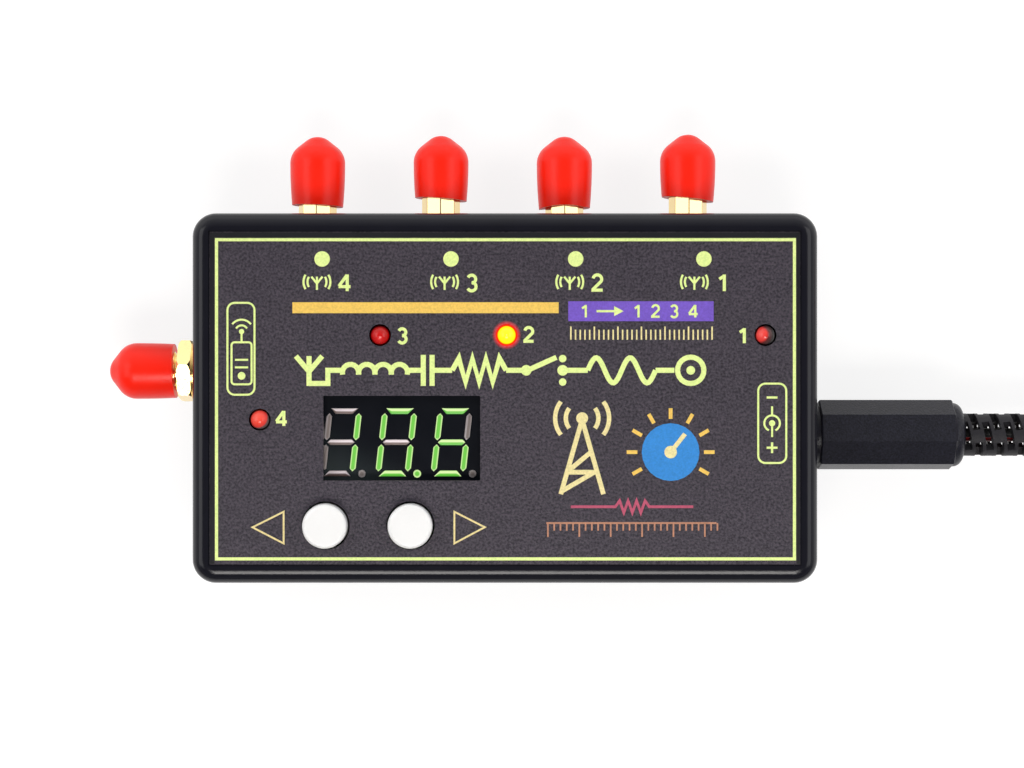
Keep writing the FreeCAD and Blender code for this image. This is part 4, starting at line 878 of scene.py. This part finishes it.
def bar_resin(name, across, tip, glow=0.0):
    """Cast resin whose colour runs through stops across the bar and turns to the colour of the tips
    over the last tenth of its length. On the dark bars these stops and tips are painted highlight
    and painted shade, lighter where the bevelled rim gathers the light; on the lit bars they are
    the colours of the bar's own light."""
    finish = surface(name, across[0][1], 0.3, grain=0.0002, depth=0.05, specular=0.4)
    tree = finish.node_tree
    bar = add_node(tree, "UVMap", {}, uv_map="bar").outputs["UV"]
    axes = add_node(tree, "SeparateXYZ", {0: bar}).outputs
    middle = ramped(tree, axes["Y"], across)
    at_tip = ramped(tree, axes["X"], ((0.0, 1.0), (0.09, 0.0), (0.91, 0.0), (1.0, 1.0)))
    tint = mixed(tree, at_tip, middle, (*tip, 1.0))
    colour_or_light(finish, tint, glow, (0.06, 0.1, 0.04))
    return finish


pale_rim, soft_rim = (0.72, 0.88, 0.42), (0.58, 0.82, 0.33)
green_core, deep_green = (0.12, 0.52, 0.04), (0.06, 0.32, 0.025)
lit_level = bar_resin(
    "lit_resin_level",
    (
        (0.0, deep_green),
        (0.3, green_core),
        (0.42, green_core),
        (0.56, pale_rim),
        (0.88, pale_rim),
        (1.0, deep_green),
    ),
    pale_rim,
    1.0,
)
lit_upright = bar_resin(
    "lit_resin_upright",
    (
        (0.0, soft_rim),
        (0.1, soft_rim),
        (0.26, green_core),
        (0.72, green_core),
        (0.88, soft_rim),
        (1.0, soft_rim),
    ),
    pale_rim,
    1.0,
)
# the unlit level bars: a painted highlight over the upper half, painted shade at the lower edge,
# and lighter painted highlights at the tips
dark_level = bar_resin(
    "dark_resin_level",
    (
        (0.0, (0.12, 0.08, 0.07)),
        (0.34, (0.2, 0.14, 0.13)),
        (0.46, (0.42, 0.34, 0.34)),
        (0.56, (0.95, 0.84, 0.87)),
        (0.88, (0.9, 0.8, 0.83)),
        (1.0, (0.3, 0.24, 0.24)),
    ),
    (0.5, 0.44, 0.44),
)
# the unlit upright bars: painted highlights along both sides over a darker painted shade in the
# middle, and lighter painted highlights at the tips
dark_upright = bar_resin(
    "dark_resin_upright",
    (
        (0.0, (0.3, 0.27, 0.27)),
        (0.22, (0.48, 0.43, 0.44)),
        (0.45, (0.24, 0.2, 0.19)),
        (0.7, (0.24, 0.2, 0.19)),
        (1.0, (0.5, 0.46, 0.46)),
    ),
    (0.66, 0.6, 0.61),
)
lit_pieces = cast_bars("lit_display_bars", [lit_level, lit_upright], True)
dark_pieces = cast_bars("dark_display_bars", [dark_level, dark_upright], False)
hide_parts("display_segments_lit")
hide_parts("display_segments_unlit")


def display_face():
    """Blue-black moulded plastic, which turns greyer as x / 2 + y falls, towards the corner at the
    first digit's foot."""
    black = (0.0025, 0.0035, 0.007)
    finish = surface("display_face", black, 0.3, grain=0.00025, depth=0.03, specular=0.2)
    tree = finish.node_tree
    axes = add_node(tree, "SeparateXYZ", {0: tree.nodes["place"].outputs["Object"]}).outputs
    slant = worked(tree, "MULTIPLY_ADD", axes["X"], 0.5, axes["Y"])
    grey_start, grey_end = -17.0 * mm, -28.0 * mm
    grey = ranged(tree, slant, grey_start, grey_end, way="SMOOTHSTEP")
    tint = tree.nodes["tint"].outputs["Result"]
    dress(finish, {"Base Color": mixed(tree, grey, tint, (0.024, 0.032, 0.034, 1.0))})
    return finish


wear(display_face(), "display_housing")
tin = metal("tinned_wire", (0.62, 0.6, 0.57), 0.28)
black_nylon = surface("black_nylon", (0.014, 0.014, 0.015), 0.5, grain=0.0004, depth=0.08)
wear(tin, "display_pins", "led_leads")
wear(black_nylon, "display_sockets")

# Lamps
# Four 3 mm lamps cast in tinted, clouded epoxy, round-topped, with a flange at the foot. They
# stand on their leads and look through holes in the face; the second one shines yellow.

lamp_places = ((41.5, 10.05), lit_lamp, (-19.9, 10.05), (-39.05, -3.43))
lamp_radius = 1.5
lamp_foot = 20.5
flange_radius, flange_height = 1.9, 1.0
dome_foot = 3.8


def lamp_shape(x, y):
    """The outline of foot, flange, straight side and half-round dome, turned about the lamp's
    axis: points at radius and height, the dome's by the sine and cosine of an angle."""
    dome = np.radians(np.linspace(90.0, 1.0, 16))
    foot = [0.02, flange_radius, flange_radius, lamp_radius + 0.02, lamp_radius]
    radius = np.concatenate([foot, lamp_radius * np.sin(dome)])[:, None]
    foot_height = [0.0, 0.0, flange_height - 0.02, flange_height, flange_height + 0.05]
    height = np.concatenate([foot_height, dome_foot + lamp_radius * np.cos(dome)])[:, None]
    turn = np.radians(np.arange(0.0, 360.0, 7.5))
    points = spread(x + radius * np.cos(turn), y + radius * np.sin(turn), lamp_foot + height)
    return points.reshape(-1, 3), tube_faces(*points.shape[:2])


def lamp_resin(name, centre, offset, glow, stops):
    """Clouded epoxy: its colour runs outwards from a point set beside the lamp's axis. On the dark
    lamps this is painted light and shade, a lit red side with a painted highlight and a darker
    painted shade and reflection towards the rim, and the part that shines glows in the same
    colours."""
    finish = surface(name, stops[-1][1], 0.15, specular=0.4)
    tree = finish.node_tree
    away = away_from(tree, (*np.add(centre, offset), 0.0), upright=0.0)
    share = ranged(tree, away, 0.0, (lamp_radius + np.hypot(*offset)) * mm)
    colour_or_light(finish, ramped(tree, share, stops), glow, (0.1, 0.02, 0.005))
    return finish


# the dark lamps' stops are painted light and shade: a lit red middle or side, then darker painted
# shade and reflection towards the rim; lamp 4's dark outer ring is painted shade in the gap at its
# hole
lamp_1_stops = (
    (0.0, (0.95, 0.1, 0.09)),
    (0.42, (0.85, 0.05, 0.04)),
    (0.58, (0.12, 0.025, 0.025)),
    (0.85, (0.05, 0.045, 0.045)),
    (1.0, (0.22, 0.21, 0.21)),
)
lamp_2_stops = (
    (0.0, (1.0, 1.0, 0.5)),
    (0.08, (1.0, 1.0, 0.02)),
    (0.9, (1.0, 0.95, 0.0)),
    (0.96, (1.0, 0.22, 0.005)),
    (1.0, (1.0, 0.03, 0.008)),
)
lamp_3_stops = (
    (0.0, (0.85, 0.06, 0.06)),
    (0.25, (0.62, 0.012, 0.012)),
    (0.74, (0.5, 0.001, 0.001)),
    (1.0, (0.06, 0.0, 0.0)),
)
lamp_4_stops = (
    (0.0, (0.95, 0.12, 0.08)),
    (0.5, (0.92, 0.07, 0.045)),
    (0.76, (0.8, 0.05, 0.04)),
    (0.86, (0.16, 0.1, 0.1)),
    (1.0, (0.12, 0.1, 0.1)),
)
lamp_looks = (  # how far the middle of the painted light lies off the axis, the glow, and the colours outwards
    ((-0.95, 0.1), 0.0, lamp_1_stops),
    ((0.0, 0.0), 1.0, lamp_2_stops),
    ((0.0, -0.55), 0.0, lamp_3_stops),
    ((-0.3, 0.3), 0.0, lamp_4_stops),
)
for number, (centre, (offset, shine, stops)) in enumerate(zip(lamp_places, lamp_looks), start=1):
    resin = lamp_resin(f"lamp_{number}_resin", centre, offset, shine, stops)
    lens_points, lens_faces = lamp_shape(*centre)
    lens = piece(f"lamp_lens_{number}", lens_points * mm, lens_faces, [resin], "case")
    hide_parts(f"led_lens_{number}")

# Buttons and their switches
# White ABS caps pressed on the stems of two tall tact switches: black bodies, steel cover plates,
# a snap dome under each plunger.

white_plastic = surface("white_plastic", (0.9, 0.9, 0.9), 0.35, drift=0.02)
dome_steel = metal("dome_steel", (0.6, 0.6, 0.58), 0.3)
wear(dome_steel, "switch_covers")
for side in ("left", "right"):
    wear(white_plastic, f"{side}_button_cap")
    wear(black_nylon, f"{side}_switch_body", f"{side}_switch_plunger")
    wear(dome_steel, f"{side}_snap_dome")

# Coaxial jacks
# Brass bodies turned and threaded, gold plated, with an eight-sided neck; a white fluoroplastic
# sleeve holds the centre contact. The radio jack has a hexagon nut over a washer.

gold = metal("gold_plate", (1.0, 0.77, 0.4), 0.14, depth=0.03, drift=0.05)
nut_gold = metal("nut_gold", (1.0, 0.76, 0.36), 0.2, grain=0.0003, depth=0.06, drift=0.06)
washer_gold = metal("washer_gold", (1.0, 0.62, 0.22), 0.22, grain=0.0003, depth=0.06)
sleeve_white = surface("fluoroplastic", (0.8, 0.79, 0.76), 0.4, depth=0.03, drift=0.03)
wear(gold, "jack_contacts", "inlet_pin", "inlet_spring")
wear(nut_gold, "radio_nut")
wear(washer_gold, "radio_washer")
wear(sleeve_white, "jack_insulators")

thread_radius = 3.175
thread_pitch = 0.7056
thread_depth = 0.34
root_share, flank_share = 0.12, 0.7  # of half a pitch
thread_run_out = 0.5
rows_per_pitch = 12
neck_flat = thread_radius * 0.9165  # from the axis to the middle of a flat
neck_round = 0.3
half_flat_angle = np.radians(22.5)
crease_angle = np.radians(2.2)
jack_axis_height = 12.5
flange_face = -2.4
tip_chamfer = 0.4
near = 0.01  # a point this close to a plane counts as lying on it


def turned_jack(name, wall_x, wall_y, outwards, neck_end, reach):
    """The jack's body, with its thread cut and the creases of its neck rounded. Local places are
    the step beside the axis, the way out of the wall and the height over the axis. The neck's
    radius at an angle is that of its flat, flat / cos(angle), or near a crease that of a circle
    tangent to both flats. The thread's radius falls below its crest by the depth times a clipped
    triangle wave of (way / pitch - angle / turn), and runs out at both ends."""
    drawn = nodes[name].data
    read = np.zeros(len(drawn.vertices) * 3, np.float32)
    drawn.vertices.foreach_get("co", read)
    corners = np.zeros(len(drawn.loops), np.int32)
    drawn.loops.foreach_get("vertex_index", corners)
    loose = np.round(read.reshape(-1, 3)[corners] / mm, 4)
    places, same = np.unique(loose, axis=0, return_inverse=True)
    triangles = same.reshape(-1, 3)
    if outwards == "y":
        beside, way = places[:, 0] - wall_x, places[:, 1] - wall_y
    else:
        beside, way = places[:, 1] - wall_y, wall_x - places[:, 0]
    radius = np.hypot(beside, places[:, 2] - jack_axis_height)
    thread_end = reach - tip_chamfer
    outer = (radius > 0.9 * thread_radius) & (way > flange_face - near) & (way < thread_end + near)
    cut = outer[triangles].all(axis=1) & ~(way[triangles] < flange_face + near).all(axis=1)
    kept = triangles[~cut]

    half = np.array([0.7, 1.4, 2.1, 4.0, 8.0, 12.5, 17.5])
    between = np.concatenate([-half[::-1], [0.0], half, [22.5]])
    angle = np.radians((np.arange(0.0, 360.0, 45.0)[:, None] + between).ravel())
    from_crease = np.radians(np.tile(between, 8))
    bend = (neck_flat - neck_round) / np.cos(half_flat_angle)
    flat_radius = neck_flat / np.cos(half_flat_angle - np.abs(from_crease))
    inside = np.maximum(neck_round**2 - (bend * np.sin(from_crease)) ** 2, 0.0)
    bend_radius = bend * np.cos(from_crease) + np.sqrt(inside)
    rounded = np.minimum(flat_radius, bend_radius)
    neck_radius = np.where(np.abs(from_crease) < crease_angle, rounded, flat_radius)
    thread_start = max(neck_end, flange_face)
    rows = int((thread_end - thread_start) / thread_pitch * rows_per_pitch)
    thread_way = np.linspace(thread_start, thread_end, rows)
    turns = thread_way[:, None] / thread_pitch - angle[None] / (2 * np.pi)
    wave = np.abs(2 * (turns % 1.0) - 1)
    from_end = np.minimum(thread_way - thread_start, thread_end - thread_way)
    run_out = np.clip(from_end / thread_run_out, 0.0, 1.0)[:, None]
    crest = np.clip((wave - root_share) / flank_share, 0.0, 1.0)
    thread_cut = thread_depth * run_out * (1.0 - crest)
    grid_radius = np.vstack([neck_radius, neck_radius, thread_radius - thread_cut])
    neck_way = [flange_face, max(neck_end, flange_face + 0.1)]
    grid_way = np.concatenate([neck_way, thread_way])[:, None]
    grid_beside = grid_radius * np.sin(angle)
    height = jack_axis_height + grid_radius * np.cos(angle)
    if outwards == "y":
        grid = spread(wall_x + grid_beside, wall_y + grid_way, height)
    else:
        grid = spread(wall_x - grid_way, wall_y + grid_beside, height)
    points = np.vstack([places, grid.reshape(-1, 3)]) * mm
    faces = kept.tolist() + (grid_faces(*grid_radius.shape) + len(places)).tolist()
    made = piece(name + "_threaded", points, faces, [gold], "case")
    made.data.set_sharp_from_angle(angle=np.radians(32.0))
    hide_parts(name)


for number, x in enumerate((30.08, 9.76, -10.56, -30.88), start=1):
    turned_jack(f"antenna_jack_{number}", x, 29.6, "y", 3.6, 9.4)
turned_jack("radio_jack", -50.0, 4.4, "x", -2.2, 11.2)

# Dust caps
# Soft red vinyl, dipped over a mandrel: glossy, a little clouded, its skirt drawn in at the mouth.
# The faint glow stands for the light that is scattered inside the vinyl.

cap_vinyl = surface(
    "cap_vinyl", (1.0, 0.014, 0.002), 0.34, grain=0.0006, depth=0.05, drift=0.03, specular=0.3
)
dress(cap_vinyl, {"Emission Color": (1.0, 0.01, 0.0, 1.0), "Emission Strength": 0.12})
for number in (1, 2, 3, 4, "radio"):
    wear(cap_vinyl, f"dust_cap_{number}")

# Inlet, plug and strain relief
# The inlet on the board takes a barrel plug. The plug's cover is a black eight-sided moulding, and
# the strain relief behind it is soft rubber with rings of windows.

cover_plastic = surface(
    "cover_plastic",
    (0.0035, 0.0035, 0.006),
    0.34,
    light=(0.017, 0.017, 0.028),
    depth=0.2,
    specular=0.28,
    speckle=0.8,
)
relief_rubber = surface("relief_rubber", (0.018, 0.017, 0.021), 0.5, depth=0.1, specular=0.25)
plated_brass = metal("plated_brass", (0.7, 0.68, 0.62), 0.25)
wear(cover_plastic, "plug_cover")

# the moulded nose round the plug's sleeve, which fills the cover's mouth; its black partly stands
# in for the shade on the sleeve in the gap at the wall
nose_turn = np.radians(np.arange(0.0, 360.0, 7.5))
nose_way = np.array([50.3, 50.2, 50.2, 50.35, 50.6, 52.9, 52.9])[:, None]
nose_radius = np.array([2.85, 3.0, 4.3, 4.55, 4.65, 4.65, 2.85])[:, None]
nose_y = plug_y + nose_radius * np.cos(nose_turn)
nose_grid = spread(nose_way, nose_y, plug_z + nose_radius * np.sin(nose_turn))
nose_points = nose_grid.reshape(-1, 3) * mm
nose_faces = grid_faces(*nose_grid.shape[:2])
nose = piece("plug_nose_and_shade", nose_points, nose_faces, [cover_plastic], "dc_plug")
nose.data.set_sharp_from_angle(angle=np.radians(40.0))
wear(relief_rubber, "plug_strain_relief")
wear(black_nylon, "inlet_housing", "plug_insulator")
wear(plated_brass, "plug_sleeve", "plug_contact")
wear(tin, "dc_lead_ends")

# Circuit board
# A green fibreglass board with its relays, driver, controller, regulator, capacitors and crystal
# soldered on it. Four screws hold it on standoffs in the base.

board_green = surface("board_green", (0.015, 0.12, 0.04), 0.35, grain=0.0008, depth=0.15)
chip_black = surface("chip_black", (0.016, 0.016, 0.017), 0.55, depth=0.12)
can_sleeve = metal("can_aluminium", (0.72, 0.72, 0.72), 0.3, grain=0.0003)
can_nickel = metal("can_nickel", (0.66, 0.64, 0.6), 0.22, grain=0.0003)
ceramic = surface("chip_ceramic", (0.42, 0.3, 0.2), 0.5, depth=0.08)
wear(board_green, "circuit_board")
wear(chip_black, "rf_relays", "microcontroller", "relay_driver", "voltage_regulator")
wear(can_sleeve, "electrolytic_capacitors")
wear(can_nickel, "crystal")
wear(ceramic, "chip_parts")
